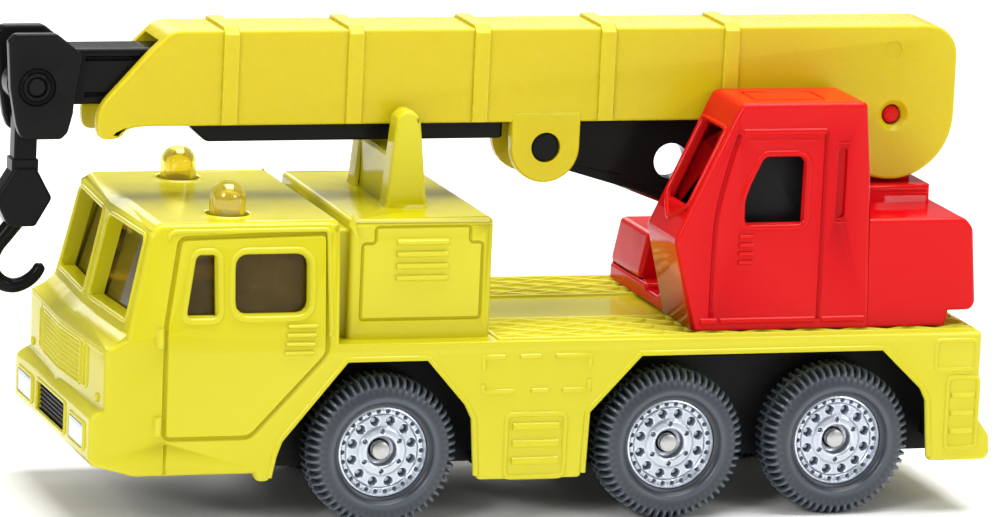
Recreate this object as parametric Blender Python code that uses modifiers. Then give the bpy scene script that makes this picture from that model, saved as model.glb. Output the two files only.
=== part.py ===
"""Toy crane truck: a die-cast six-wheeled truck with a slewing turret, a lifting boom,
a telescopic inner boom and a swinging hook.

Frame: the truck stands on z = 0 with its front towards -Y and its left side towards +X.
All sizes below are in millimetres; the helpers turn them into metres.
"""
import math

import bmesh
import bpy
from mathutils import Matrix, Vector

MM = 0.001

# Driving dimensions (mm)
body_half_width = 14.0
body_wall = 1.2
bumper_front = -39.8
nose_front = -38.5
body_rear = 45.1
step_rear = body_rear + 1.4
deck_top = 17.2
deck_thickness = 1.2
sill_bottom = 5.5
panel_bottom = 4.35
rear_bottom = 4.95

cab_roof = 28.3
cab_roof_half_width = 12.7
cab_rear = -16.8
windscreen_foot = -36.5
windscreen_head = -34.4
windscreen_bow = 0.7

box_front = -15.5
box_rear = -2.1
box_half_width = 11.8
box_top = 28.2
groove_depth = 1.0

wheel_radius = 7.0
wheel_stations = {"front": -12.1, "middle": 15.4, "rear": 31.65}
tyre_width = 4.6
tyre_outer_face = 13.7
rim_radius = 4.15
axle_radius = 0.85
running_gap = 0.1
seat_gap = 0.3
round_sides = 28

channel_half_width = 8.3
channel_bottom = 4.8
channel_top = 14.4
base_wall = 1.1
rivet_stations = {"front": -29.5, "rear": 39.4}
rivet_head_radius = 2.0
rivet_shank_radius = 0.9
post_radius = 1.9

turret_station = 28.0
spigot_radius = 3.0
turret_half_width = 12.3
turret_front = 17.3
turret_rear = 44.9
turret_floor_thickness = 1.5
operator_cab_inner = 3.95
operator_cab_top = 38.5
operator_cab_rear = 34.0
far_housing_top = 23.3
counterweight_top = 27.6
counterweight_clearance = 1.3
pedestal_half_width = 4.6
pedestal_top = 29.2

pivot = (39.1, 35.6)
peg_radius = 0.85
boom_half_width = 3.4
boom_wall = 1.0
tongue_half_width = boom_half_width - boom_wall - 0.4
boom_top = 44.1
boom_bottom = 35.35
boom_lobe_radius = 6.1
rib_stations = (-25.0, -13.3, -1.3, 10.8, 22.8)
rib_width = 1.5
rib_height = 0.25
lug_pin = (5.2, 33.0)
lug_radius = 3.3
ram_pin_radius = 1.3
ram_half_width = 1.1
ram_slope = math.radians(21.0)
ram_length = 33.5
ram_radius = 1.15
ram_hole = (18.3, 31.1)
ram_hole_radius = 1.65

inner_half_width = boom_half_width - boom_wall - seat_gap
rail_half_width = inner_half_width - 0.2
inner_low = 37.2
inner_high = 42.3
inner_rear = 10.0
rail_low = 33.6
rail_front = -28.0
rail_rear = 1.5
head_pin = (-42.8, 39.0)
cheek_outer = boom_half_width - seat_gap
cheek_inner = cheek_outer - 1.3
hook_half_width = cheek_inner - 0.5
hook_eye_radius = 2.3

YELLOW = (0.78, 0.66, 0.03, 1.0)
BOOM_YELLOW = (0.86, 0.66, 0.02, 1.0)
RED = (0.72, 0.02, 0.02, 1.0)
BLACK = (0.015, 0.015, 0.016, 1.0)
TYRE_BLACK = (0.02, 0.022, 0.03, 1.0)
SILVER = (0.72, 0.73, 0.76, 1.0)
STEEL = (0.45, 0.45, 0.44, 1.0)
AMBER = (0.75, 0.45, 0.05, 1.0)

AXES = {
    "X": Matrix(((0, 0, 1, 0), (1, 0, 0, 0), (0, 1, 0, 0), (0, 0, 0, 1))),
    "Y": Matrix(((1, 0, 0, 0), (0, 0, -1, 0), (0, 1, 0, 0), (0, 0, 0, 1))),
    "Z": Matrix.Identity(4),
}


def clear_scene():
    """Removes every object that the file opened with."""
    for thing in list(bpy.data.objects):
        bpy.data.objects.remove(thing, do_unlink=True)


def new_collection(name):
    """Makes a collection in the scene and returns it."""
    group = bpy.data.collections.new(name)
    bpy.context.scene.collection.children.link(group)
    return group


clear_scene()
TRUCK = new_collection("toy_crane_truck")
CUTTERS = new_collection("cutters")


def add_object(name, mesh):
    """Puts a mesh in the truck's collection as a named object."""
    thing = bpy.data.objects.new(name, mesh)
    TRUCK.objects.link(thing)
    return thing


def mesh_from(name, shape):
    """Turns a bmesh into an object, faces pointing out."""
    bmesh.ops.recalc_face_normals(shape, faces=shape.faces)
    mesh = bpy.data.meshes.new(name)
    shape.to_mesh(mesh)
    shape.free()
    return add_object(name, mesh)


def box(name, x, y, z):
    """A block between the low and high values on each axis."""
    shape = bmesh.new()
    bmesh.ops.create_cube(shape, size=1.0)
    size = [(high - low) * MM for low, high in (x, y, z)]
    centre = Vector([(high + low) / 2 * MM for low, high in (x, y, z)])
    bmesh.ops.scale(shape, vec=size, verts=shape.verts)
    bmesh.ops.translate(shape, vec=centre, verts=shape.verts)
    return mesh_from(name, shape)


def rod(name, axis, centre, radius, low, high, sides=24, end_radius=None):
    """A round bar along an axis; centre holds the two other coordinates in turn."""
    shape = bmesh.new()
    bmesh.ops.create_cone(
        shape, cap_ends=True, segments=sides, radius1=radius * MM,
        radius2=(radius if end_radius is None else end_radius) * MM, depth=(high - low) * MM)
    place = Vector((centre[0], centre[1], (low + high) / 2)) * MM
    bmesh.ops.translate(shape, vec=place, verts=shape.verts)
    bmesh.ops.transform(shape, matrix=AXES[axis], verts=shape.verts)
    return mesh_from(name, shape)


def plate(name, axis, outline, low, high):
    """A flat outline given a thickness along an axis."""
    curve = bpy.data.curves.new(name, "CURVE")
    curve.dimensions = "2D"
    curve.fill_mode = "BOTH"
    curve.extrude = (high - low) / 2 * MM
    spline = curve.splines.new("POLY")
    spline.points.add(len(outline) - 1)
    for point, (across, up) in zip(spline.points, outline):
        point.co = (across * MM, up * MM, 0.0, 1.0)
    spline.use_cyclic_u = True
    guide = add_object(name + "_outline", curve)
    guide.matrix_world = AXES[axis] @ Matrix.Translation((0, 0, (low + high) / 2 * MM))
    return mesh_of_curve(name, guide)


def mesh_of_curve(name, guide):
    """Makes a welded mesh object of a curve object, and removes the curve."""
    bpy.context.view_layer.update()
    seen = guide.evaluated_get(bpy.context.evaluated_depsgraph_get())
    mesh = bpy.data.meshes.new_from_object(seen)
    shape = bmesh.new()
    shape.from_mesh(mesh)
    bmesh.ops.remove_doubles(shape, verts=shape.verts, dist=0.001 * MM)
    bmesh.ops.transform(shape, matrix=guide.matrix_world, verts=shape.verts)
    bpy.data.objects.remove(guide, do_unlink=True)
    return mesh_from(name, shape)


def wire(name, points, radii):
    """A bent round bar through points (x, y, z) with its radius at each."""
    curve = bpy.data.curves.new(name, "CURVE")
    curve.dimensions = "3D"
    curve.bevel_depth = MM
    curve.bevel_resolution = 2
    curve.use_fill_caps = True
    spline = curve.splines.new("POLY")
    spline.points.add(len(points) - 1)
    for point, place, radius in zip(spline.points, points, radii):
        point.co = (place[0] * MM, place[1] * MM, place[2] * MM, 1.0)
        point.radius = radius
    return mesh_of_curve(name, add_object(name + "_guide", curve))


def turned(name, profile, centre, side):
    """A ring turned about an axle; profile holds (radius, distance towards the outer face)."""
    mesh = bpy.data.meshes.new(name)
    points = [(radius * MM, 0.0, height * MM) for radius, height in profile]
    edges = [(index, (index + 1) % len(points)) for index in range(len(points))]
    mesh.from_pydata(points, edges, [])
    ring = add_object(name, mesh)
    screw = ring.modifiers.new("turn", "SCREW")
    screw.axis = "Z"
    screw.steps = round_sides
    screw.render_steps = round_sides
    screw.use_merge_vertices = True
    screw.merge_threshold = 0.00001
    ring.rotation_euler = (0.0, side * math.pi / 2, 0.0)
    ring.location = Vector(centre) * MM
    return ring


def combine(base, tool, operation, label):
    """Adds a tool to a base, or takes it away, with an exact Boolean modifier."""
    TRUCK.objects.unlink(tool)
    CUTTERS.objects.link(tool)
    tool.hide_render = True
    tool.display_type = "WIRE"
    change = base.modifiers.new(label, "BOOLEAN")
    change.operation = operation
    change.solver = "EXACT"
    change.object = tool


def join(base, *tools):
    """Unites further shapes with a base."""
    for tool in tools:
        combine(base, tool, "UNION", "join_" + tool.name)


def cut(base, *tools):
    """Takes shapes away from a base."""
    for tool in tools:
        combine(base, tool, "DIFFERENCE", "cut_" + tool.name)


def paint(thing, name, colour, roughness, metallic=0.0, see_through=0.0):
    """Gives a piece its own Principled material."""
    material = bpy.data.materials.new(name)
    material.use_nodes = True
    shader = material.node_tree.nodes["Principled BSDF"]
    shader.inputs["Base Color"].default_value = colour
    shader.inputs["Roughness"].default_value = roughness
    shader.inputs["Metallic"].default_value = metallic
    shader.inputs["Transmission Weight"].default_value = see_through
    material.diffuse_color = colour
    thing.data.materials.append(material)


def arc(centre, radius, start, end, steps):
    """Points on an arc about a centre, from one angle to another in degrees."""
    angles = [math.radians(start + (end - start) * step / steps) for step in range(steps + 1)]
    return [(centre[0] + radius * math.cos(a), centre[1] + radius * math.sin(a)) for a in angles]


def split(thing, place, direction):
    """Adds an edge loop to a shape where a plane crosses it."""
    shape = bmesh.new()
    shape.from_mesh(thing.data)
    everything = shape.verts[:] + shape.edges[:] + shape.faces[:]
    bmesh.ops.bisect_plane(shape, geom=everything, plane_co=Vector(place) * MM, plane_no=direction)
    shape.to_mesh(thing.data)
    shape.free()


def taper_sides(thing, low, high, low_half, high_half):
    """Draws the sides of a shape in above a height, keeping them flat."""
    split(thing, (0, 0, low), (0, 0, 1))
    for vertex in thing.data.vertices:
        height = min(max(vertex.co.z / MM, low), high)
        share = (height - low) / (high - low)
        vertex.co.x *= 1.0 + share * (high_half / low_half - 1.0)


def bow_front(thing, rear_limit, low_limit, depth):
    """Splits a shape along its middle and moves the middle of its front forward."""
    split(thing, (0, 0, 0), (1, 0, 0))
    for vertex in thing.data.vertices:
        in_front = vertex.co.y < rear_limit * MM and vertex.co.z > low_limit * MM
        if abs(vertex.co.x) < 0.01 * MM and in_front:
            vertex.co.y -= depth * MM


def cab_block(name, inset, floor):
    """The cab's form drawn in by an inset, for its hollow and for what stands inside it."""
    outline = [
        (windscreen_foot + inset - 0.22 * (18.1 - floor), floor),
        (windscreen_head + inset, 27.6 - inset),
        (windscreen_head + 0.8 + inset, cab_roof - inset),
        (cab_rear - inset, cab_roof - inset),
        (cab_rear - inset, floor),
    ]
    block = plate(name, "X", outline, inset - body_half_width, body_half_width - inset)
    taper_sides(block, deck_top, cab_roof, body_half_width, cab_roof_half_width)
    bow_front(block, windscreen_head + 0.5 + inset, 0.0, windscreen_bow)
    return block


def build_truck_body():
    """The die-cast body: hull, cab, engine box, boom rest, posts and all its openings."""
    arch_front = [(-22.6, 6.9), (-22.1, 8.3), (-16.1, 15.6), (-8.4, 15.6), (-4.6, 11.3), (-3.9, 9.9)]
    arch_rear = [(6.9, 10.3), (11.8, 15.6), (35.4, 15.6), (39.4, 11.8), (40.0, 10.6)]
    outline = [(bumper_front + 4.3, sill_bottom), (-24.5, sill_bottom), (-24.1, 4.75), (-22.9, 4.75)]
    outline += arch_front + [(-3.4, panel_bottom), (6.6, panel_bottom)] + arch_rear
    outline += [
        (40.4, rear_bottom), (step_rear - 0.4, rear_bottom), (step_rear, 5.6), (step_rear - 0.1, 7.2),
        (body_rear, 9.0), (body_rear, deck_top), (cab_rear, deck_top), (cab_rear, cab_roof),
        (windscreen_head + 0.8, cab_roof), (windscreen_head, 27.6), (windscreen_foot, 18.1),
        (nose_front, 17.1), (nose_front, 11.8), (bumper_front + 0.3, 11.3), (bumper_front, 10.8),
        (bumper_front, 7.3), (bumper_front + 0.4, 6.6)]
    body = plate("truck_body", "X", outline, -body_half_width, body_half_width)
    taper_sides(body, deck_top, cab_roof, body_half_width, cab_roof_half_width)
    bow_front(body, windscreen_head + 0.5, 11.5, windscreen_bow)
    box_inset = box_half_width - body_wall
    join(body, box("engine_box", (-box_half_width, box_half_width), (box_front, box_rear), (16.5, box_top)))
    join(body, box("groove_wall", (groove_depth - box_half_width, box_half_width - groove_depth),
                   (cab_rear - 0.6, box_front + 0.6), (16.5, box_top - groove_depth)))
    hull_half = body_half_width - body_wall
    underside = deck_top - deck_thickness
    cut(body, box("hull_hollow", (-hull_half, hull_half), (nose_front + 1.3, body_rear - 1.3), (0.0, underside)))
    cut(body, cab_block("cab_hollow", body_wall, 14.0))
    cut(body, box("box_hollow", (-box_inset, box_inset), (box_front + body_wall, box_rear - body_wall),
                  (14.0, box_top - body_wall)))
    for side in (-1, 1):
        add_rest_post(body, side)
    join(body, box("rest_web", (-4.6, 4.6), (-10.2, -7.3), (box_top - 0.4, 32.9)))
    for place, station in rivet_stations.items():
        post_foot = base_plate_top(place) + seat_gap
        post_head = cab_roof - 0.6 if place == "front" else underside + 0.5
        join(body, rod("post_" + place, "Z", (0.0, station), post_radius, post_foot, post_head))
        cut(body, rod("post_bore_" + place, "Z", (0.0, station), rivet_shank_radius + running_gap,
                      post_foot - 1.0, post_foot + 3.6))
    cut_windows(body)
    cut(body, rod("deck_hole", "Z", (0.0, turret_station), spigot_radius + 0.15,
                  underside - 1.0, deck_top + 1.0, 32))
    cut(body, box("intake_hole", (-5.0, 5.0), (bumper_front - 1.0, nose_front + 2.0), (7.8, 10.3)))
    for side in (-1, 1):
        cut(body, rod("beacon_hole_%d" % (side + 1), "Z", (side * 8.6, -26.3), 1.95,
                      cab_roof - 3.0, cab_roof + 1.0))
    paint(body, "yellow_paint", YELLOW, 0.25)
    return body


def add_rest_post(body, side):
    """One tapered finger of the boom rest, rounded over at its top."""
    outline = [(-11.0, box_top - 0.4), (-6.6, box_top - 0.4), (-6.9, box_top + 0.5), (-7.75, 36.4)]
    outline += arc((-8.9, 36.0), 1.15, 20.0, 160.0, 5) + [(-10.1, 35.4), (-10.7, box_top + 0.5)]
    low, high = sorted((side * (boom_half_width + rib_height + seat_gap), side * 6.5))
    join(body, plate("rest_post_%d" % (side + 1), "X", outline, low, high))


def cut_windows(body):
    """Cuts the windscreen panes and the side windows."""
    for side in (-1, 1):
        pane = [(side * x, z) for x, z in ((1.1, 19.6), (12.0, 19.6), (11.6, 26.9), (1.1, 26.9))]
        cut(body, plate("windscreen_%d" % (side + 1), "Y", pane, 32.2, 41.0))
    quarter = [(-31.0, 20.0), (-28.3, 20.0), (-28.4, 25.4), (-30.1, 25.4)]
    main = arc((-25.5, 21.1), 1.0, 180, 270, 3) + arc((-20.8, 21.1), 1.0, 270, 360, 3)
    main += arc((-20.8, 24.4), 1.0, 0, 90, 3) + arc((-25.5, 24.4), 1.0, 90, 180, 3)
    cut(body, plate("quarter_window", "X", quarter, -15.0, 15.0))
    cut(body, plate("door_window", "X", main, -15.0, 15.0))


def base_plate_top(place):
    """The height of the underframe's plate at a rivet."""
    return 7.0 if place == "front" else channel_bottom + base_wall


def build_glazing():
    """The window moulding: a thin hood inside the cab, with two beacons through the roof."""
    outer = body_wall + 0.25
    hood = cab_block("cab_glazing", outer, 18.3)
    cut(hood, cab_block("glazing_hollow", outer + 0.7, 17.3))
    for side in (-1, 1):
        centre = (side * 8.6, -26.3)
        stem = rod("beacon_stem_%d" % (side + 1), "Z", centre, 1.65, cab_roof - 2.0, 30.2, 20)
        cap = rod("beacon_cap_%d" % (side + 1), "Z", centre, 1.62, 30.0, 31.0, 20, 1.15)
        tip = rod("beacon_tip_%d" % (side + 1), "Z", centre, 1.1, 30.8, 31.4, 20, 0.5)
        join(hood, stem, cap, tip)
    cut(hood, rod("glazing_post_gap", "Z", (0.0, rivet_stations["front"]), post_radius + 0.3, 17.0, 30.0))
    paint(hood, "amber_clear", AMBER, 0.08, see_through=0.85)
    return hood


def build_interior():
    """The cab's inside: floor, dashboard and two seats around the front post."""
    floor = box("cab_interior", (-11.6, 11.6), (-34.9, -18.6), (16.9, 17.9))
    join(floor, box("dashboard", (-10.2, 10.2), (-33.6, -32.2), (17.5, 19.6)))
    for side in (-1, 1):
        low, high = sorted((side * 3.4, side * 9.4))
        join(floor, box("seat_%d" % (side + 1), (low, high), (-26.8, -20.6), (17.5, 19.8)))
        join(floor, box("backrest_%d" % (side + 1), (low, high), (-21.9, -20.3), (17.5, 24.2)))
    cut(floor, rod("interior_post_gap", "Z", (0.0, rivet_stations["front"]), post_radius + 0.3, 15.0, 20.0))
    paint(floor, "dark_brown_plastic", (0.05, 0.03, 0.015, 1.0), 0.5)
    return floor


def build_underframe():
    """The black base: channel between the wheels, plates under the body and the air intake."""
    inside = channel_half_width - base_wall
    plate_half = body_half_width - body_wall - 0.5
    frame = box("underframe", (-channel_half_width, channel_half_width), (-23.6, 43.0),
                (channel_bottom, channel_top))
    cut(frame, box("channel_hollow", (-inside, inside), (-23.6 + base_wall, 43.0 - base_wall),
                   (channel_bottom + base_wall, channel_top + 1.0)))
    join(frame, box("front_plate", (-plate_half, plate_half), (-36.6, -23.0), (5.9, 7.0)))
    join(frame, box("middle_plate", (-plate_half, plate_half), (-2.6, 6.0), (channel_bottom, 5.9)))
    for side in (-1, 1):
        low, high = sorted((side * (inside + 0.2), side * plate_half))
        join(frame, box("front_screen_%d" % (side + 1), (low, high), (-24.0, -23.0), (5.9, channel_top)))
        join(frame, box("middle_screen_%d" % (side + 1), (low, high), (-2.4, -1.4), (5.0, channel_top)))
        join(frame, box("late_screen_%d" % (side + 1), (low, high), (4.8, 5.8), (5.0, channel_top)))
        join(frame, box("rear_screen_%d" % (side + 1), (low, high), (41.6, 42.6), (6.3, channel_top)))
    join(frame, box("intake_stem", (-4.5, 4.5), (-36.8, -35.9), (6.2, 9.5)))
    join(frame, box("intake", (-4.6, 4.6), (-39.3, -36.2), (8.15, 9.95)))
    for station in wheel_stations.values():
        cut(frame, rod("axle_bore_%d" % round(station), "X", (station, wheel_radius),
                       axle_radius + running_gap, -20.0, 20.0, round_sides))
    for place, station in rivet_stations.items():
        top = base_plate_top(place)
        bottom = 5.9 if place == "front" else channel_bottom
        cut(frame, rod("rivet_hole_" + place, "Z", (0.0, station), rivet_shank_radius + running_gap,
                       bottom - 1.0, top + 1.0))
        cut(frame, rod("rivet_recess_" + place, "Z", (0.0, station), rivet_head_radius + 0.15,
                       bottom - 1.0, bottom + 0.6))
    paint(frame, "black_plastic", BLACK, 0.4)
    return frame


def build_rivet(place):
    """One body rivet, its head sunk in the underframe's recess."""
    station = rivet_stations[place]
    bottom = 5.9 if place == "front" else channel_bottom
    rivet = rod("rivet_" + place, "Z", (0.0, station), rivet_head_radius, bottom + 0.05, bottom + 0.5, 20)
    join(rivet, rod("shank_" + place, "Z", (0.0, station), rivet_shank_radius, bottom + 0.3,
                    base_plate_top(place) + 3.4, 20))
    paint(rivet, "rivet_steel_" + place, STEEL, 0.3, 1.0)


def build_axle_and_wheels(place):
    """One axle with its two rims and tyres."""
    station = wheel_stations[place]
    axle = rod("axle_" + place, "X", (station, wheel_radius), axle_radius, -12.5, 12.5, round_sides)
    paint(axle, "axle_steel_" + place, STEEL, 0.3, 1.0)
    bore = axle_radius + 0.05
    rim_profile = [
        (bore, 3.1), (1.35, 3.1), (1.35, 4.1), (2.1, 4.1), (2.3, 3.75), (3.7, 3.75), (3.95, 4.1),
        (rim_radius, 4.1), (rim_radius, 0.3), (bore, 0.3)]
    seat = rim_radius + 0.05
    tyre_profile = [
        (seat, tyre_width - 0.35), (seat + 0.75, tyre_width), (wheel_radius - 1.4, tyre_width),
        (wheel_radius - 0.35, tyre_width - 0.6), (wheel_radius, tyre_width - 1.2), (wheel_radius, 0.8),
        (wheel_radius - 0.4, 0.3), (wheel_radius - 1.4, 0.0), (seat, 0.0)]
    for name, side in (("left", 1), ("right", -1)):
        centre = (side * (tyre_outer_face - tyre_width), station, wheel_radius)
        rim = turned("rim_%s_%s" % (place, name), rim_profile, centre, side)
        paint(rim, "rim_silver_%s_%s" % (place, name), SILVER, 0.3, 0.9)
        tyre = turned("tyre_%s_%s" % (place, name), tyre_profile, centre, side)
        paint(tyre, "tyre_black_%s_%s" % (place, name), TYRE_BLACK, 0.35)


def build_turret():
    """The red casting: floor, operator cab, low far housing, counterweight and boom tongue."""
    foot = deck_top + seat_gap
    floor_top = foot + turret_floor_thickness
    turret = box("turret_body", (-turret_half_width, turret_half_width),
                 (turret_front, operator_cab_rear + 0.5), (foot, floor_top))
    cab_outline = [
        (17.1, foot), (15.1, 25.9), (20.4, 37.3), (21.0, operator_cab_top), (33.2, operator_cab_top),
        (33.8, 32.0), (34.3, foot)]
    join(turret, plate("operator_cab", "X", cab_outline, operator_cab_inner, turret_half_width + 0.1))
    far_outline = [(18.0, foot), (17.4, 19.3), (18.2, far_housing_top), (34.3, far_housing_top), (34.3, foot)]
    join(turret, plate("far_housing", "X", far_outline, -turret_half_width - 0.1, -operator_cab_inner))
    weight_bottom = foot + counterweight_clearance
    weight_outline = [
        (33.9, foot), (42.0, foot), (42.3, weight_bottom), (turret_rear - 0.4, weight_bottom),
        (turret_rear, weight_bottom + 0.7), (44.3, 26.6), (43.4, counterweight_top),
        (33.9, counterweight_top)]
    join(turret, plate("counterweight", "X", weight_outline, -turret_half_width, turret_half_width))
    join(turret, box("pedestal", (-pedestal_half_width, pedestal_half_width), (34.1, 42.8),
                     (20.0, pedestal_top)))
    tongue = [(36.9, 28.6), (41.6, 28.6)] + arc(pivot, 2.6, -15.0, 195.0, 12)
    join(turret, plate("tongue", "X", tongue, -tongue_half_width, tongue_half_width))
    join(turret, rod("peg", "X", pivot, peg_radius, -boom_half_width + 0.35, boom_half_width - 0.35, 20))
    cab_inner = [
        (18.2, floor_top), (16.4, 25.9), (21.5, 37.2), (32.4, 37.2), (32.9, floor_top)]
    cut(turret, plate("operator_cab_hollow", "X", cab_inner, operator_cab_inner + 1.0, turret_half_width - 0.9))
    cut(turret, box("ram_slot", (-1.6, 1.6), (turret_front - 2.0, 39.4), (floor_top - 0.5, 24.4)))
    side_window = [
        (21.8, 27.4), (27.3, 27.4), (27.35, 33.0), (27.0, 33.5), (23.4, 33.5), (22.2, 30.9), (21.75, 29.5)]
    cut(turret, plate("side_window", "X", side_window, turret_half_width - 2.0, turret_half_width + 1.0))
    front_window = [(5.2, 28.6), (11.2, 28.6), (11.2, 36.0), (5.2, 36.0)]
    cut(turret, plate("front_window", "Y", front_window, -23.0, -13.0))
    join(turret, rod("spigot", "Z", (0.0, turret_station), spigot_radius, 15.7, foot + 0.5, 32))
    cut(turret, rod("spigot_bore", "Z", (0.0, turret_station), rivet_shank_radius + running_gap,
                    14.0, floor_top - 0.9))
    paint(turret, "red_paint", RED, 0.2)


def build_turret_rivet():
    """The flanged rivet pressed into the turret's spigot under the deck."""
    rivet = rod("turret_rivet", "Z", (0.0, turret_station), 4.3, 14.7, 15.6, 24)
    join(rivet, rod("turret_rivet_shank", "Z", (0.0, turret_station), rivet_shank_radius, 15.2, 17.9, 20))
    paint(rivet, "turret_rivet_steel", STEEL, 0.3, 1.0)


def build_boom_outer():
    """The hollow yellow boom with its ribs, lugs and pivot holes."""
    lobe_front = arc(pivot, boom_lobe_radius, 200.0, 360.0, 14)
    outline = [(-30.5, boom_top), (-32.5, 42.2), (-36.7, 37.6), (-37.3, 36.3), (-37.1, 34.2), (-35.4, 34.2),
               (-34.8, 34.5), (-34.5, 35.1), (-33.0, boom_bottom), (32.7, boom_bottom)]
    outline += lobe_front + [(45.2, 41.0)] + arc((42.3, 41.2), 2.9, 10.0, 90.0, 5)
    boom = plate("boom_outer", "X", outline, -boom_half_width, boom_half_width)
    for number, station in enumerate(rib_stations):
        reach = boom_half_width + rib_height
        rib = [(-reach, boom_bottom + 0.1), (reach, boom_bottom + 0.1), (reach, 43.6),
               (reach - 0.75, boom_top + rib_height), (0.75 - reach, boom_top + rib_height), (-reach, 43.6)]
        join(boom, plate("rib_%d" % number, "Y", rib, -station - rib_width / 2, -station + rib_width / 2))
    lug = arc(lug_pin, lug_radius, 180.0, 360.0, 10)
    lug += [(lug_pin[0] + lug_radius, 36.3), (lug_pin[0] - lug_radius, 36.3)]
    join(boom, plate("lugs", "X", lug, -boom_half_width - 0.1, boom_half_width + 0.1))
    inside = boom_half_width - boom_wall
    cut(boom, box("boom_hollow", (-inside, inside), (-40.0, body_rear - 0.9), (28.0, boom_top - boom_wall)))
    cut(boom, box("tongue_gap", (-inside, inside), (30.0, 50.0), (28.0, pivot[1] - 0.8)))
    cut(boom, rod("pivot_hole", "X", pivot, peg_radius + running_gap, -5.0, 5.0, 20))
    cut(boom, rod("lug_hole", "X", lug_pin, ram_pin_radius + running_gap, -5.0, 5.0, 24))
    paint(boom, "boom_yellow", BOOM_YELLOW, 0.3)


def build_boom_inner():
    """The black telescopic section: bar, web, rail under the boom, and the head's cheeks."""
    bar = box("boom_inner", (-inner_half_width, inner_half_width), (-39.9, inner_rear), (inner_low, inner_high))
    rail = [(rail_front + 1.4, rail_low), (rail_rear, rail_low), (rail_rear, inner_low + 0.3),
            (rail_front - 0.2, inner_low + 0.3), (rail_front - 0.2, 35.0)]
    join(bar, plate("rail", "X", rail, -rail_half_width, rail_half_width))
    cheek = [
        (-45.5, 43.2), (-45.2, 38.8), (-44.6, 35.6), (-44.2, 34.5), (-43.6, 34.2), (-40.4, 34.2),
        (-39.8, 34.8), (-39.35, 36.6), (-39.3, 37.6), (-38.6, 41.9), (-41.1, 43.85), (-44.9, 43.85)]
    for side in (-1, 1):
        low, high = sorted((side * cheek_inner, side * cheek_outer))
        join(bar, plate("cheek_%d" % (side + 1), "X", cheek, low, high))
    cut(bar, rod("head_pin_hole", "X", head_pin, 0.85 + running_gap, -5.0, 5.0, 20))
    paint(bar, "inner_boom_black", BLACK, 0.3)


def build_lift_ram():
    """The black ram: boss with trunnions, web with a through hole, and the round bar."""
    y, z = lug_pin
    away = (math.cos(ram_slope), -math.sin(ram_slope))
    top = boom_bottom - seat_gap
    web = [(y, z + 1.6), (y + 0.8, top), (21.5, top), (21.8, 28.2)]
    web += [(y + away[0] * 17.0, z + away[1] * 17.0 - 0.4), (8.9, 30.1)] + arc(lug_pin, 1.7, 250.0, 110.0, 6)
    ram = plate("lift_ram", "X", web, -ram_half_width, ram_half_width)
    cut(ram, rod("ram_hole", "X", ram_hole, ram_hole_radius, -5.0, 5.0, 24))
    join(ram, rod("ram_pin", "X", lug_pin, ram_pin_radius, -boom_half_width, boom_half_width, 24))
    start, end = 8.6, ram_length
    points = [(0.0, y + away[0] * along, z + away[1] * along) for along in (start, end)]
    join(ram, wire("ram_bar", points, [ram_radius, ram_radius]))
    paint(ram, "ram_black", BLACK, 0.3)


def build_hook():
    """The black hook: eye with trunnions, neck, hexagonal block and the tapered hook."""
    hook = rod("hook", "X", head_pin, hook_eye_radius, -hook_half_width, hook_half_width, 20)
    join(hook, rod("trunnion", "X", head_pin, 0.85, 0.05 - cheek_outer, cheek_outer - 0.05, 20))
    join(hook, box("neck", (-1.0, 1.0), (-44.2, -42.1), (31.0, 37.8)))
    block = [(-44.1, 31.4), (-45.9, 28.5), (-44.6, 25.9), (-42.1, 25.9), (-40.6, 28.5), (-42.2, 31.4)]
    join(hook, box("collar", (-1.15, 1.15), (-44.35, -42.0), (31.2, 32.2)))
    join(hook, plate("block", "X", block, -hook_half_width, hook_half_width))
    route = [(-43.4, 26.2), (-44.6, 25.1), (-45.5, 23.9), (-45.9, 22.6), (-45.6, 21.4), (-44.8, 20.6),
             (-43.7, 20.3), (-42.6, 20.6), (-41.7, 21.3), (-41.1, 22.4)]
    radii = [0.8, 0.75, 0.72, 0.7, 0.68, 0.66, 0.64, 0.62, 0.58, 0.5]
    join(hook, wire("hook_bend", [(0.0, across, up) for across, up in route], radii))
    paint(hook, "hook_black", BLACK, 0.3)


def build_truck():
    """Builds every piece of the toy."""
    build_truck_body()
    build_glazing()
    build_interior()
    build_underframe()
    for place in rivet_stations:
        build_rivet(place)
    for place in wheel_stations:
        build_axle_and_wheels(place)
    build_turret()
    build_turret_rivet()
    build_boom_outer()
    build_boom_inner()
    build_lift_ram()
    build_hook()


build_truck()
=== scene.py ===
"""Looks of a small die-cast toy crane truck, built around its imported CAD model.

All sizes below are in millimetres; points turn into metres when a mesh is made.
The truck's front is towards -Y and its operator cab is on the +X side.
"""
import logging
import math
from dataclasses import dataclass, field
from enum import Enum
from typing import Callable, Iterable, Sequence

import bmesh
import bpy
import numpy as np
import numpy.typing as npt
from mathutils import Matrix, Vector


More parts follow.
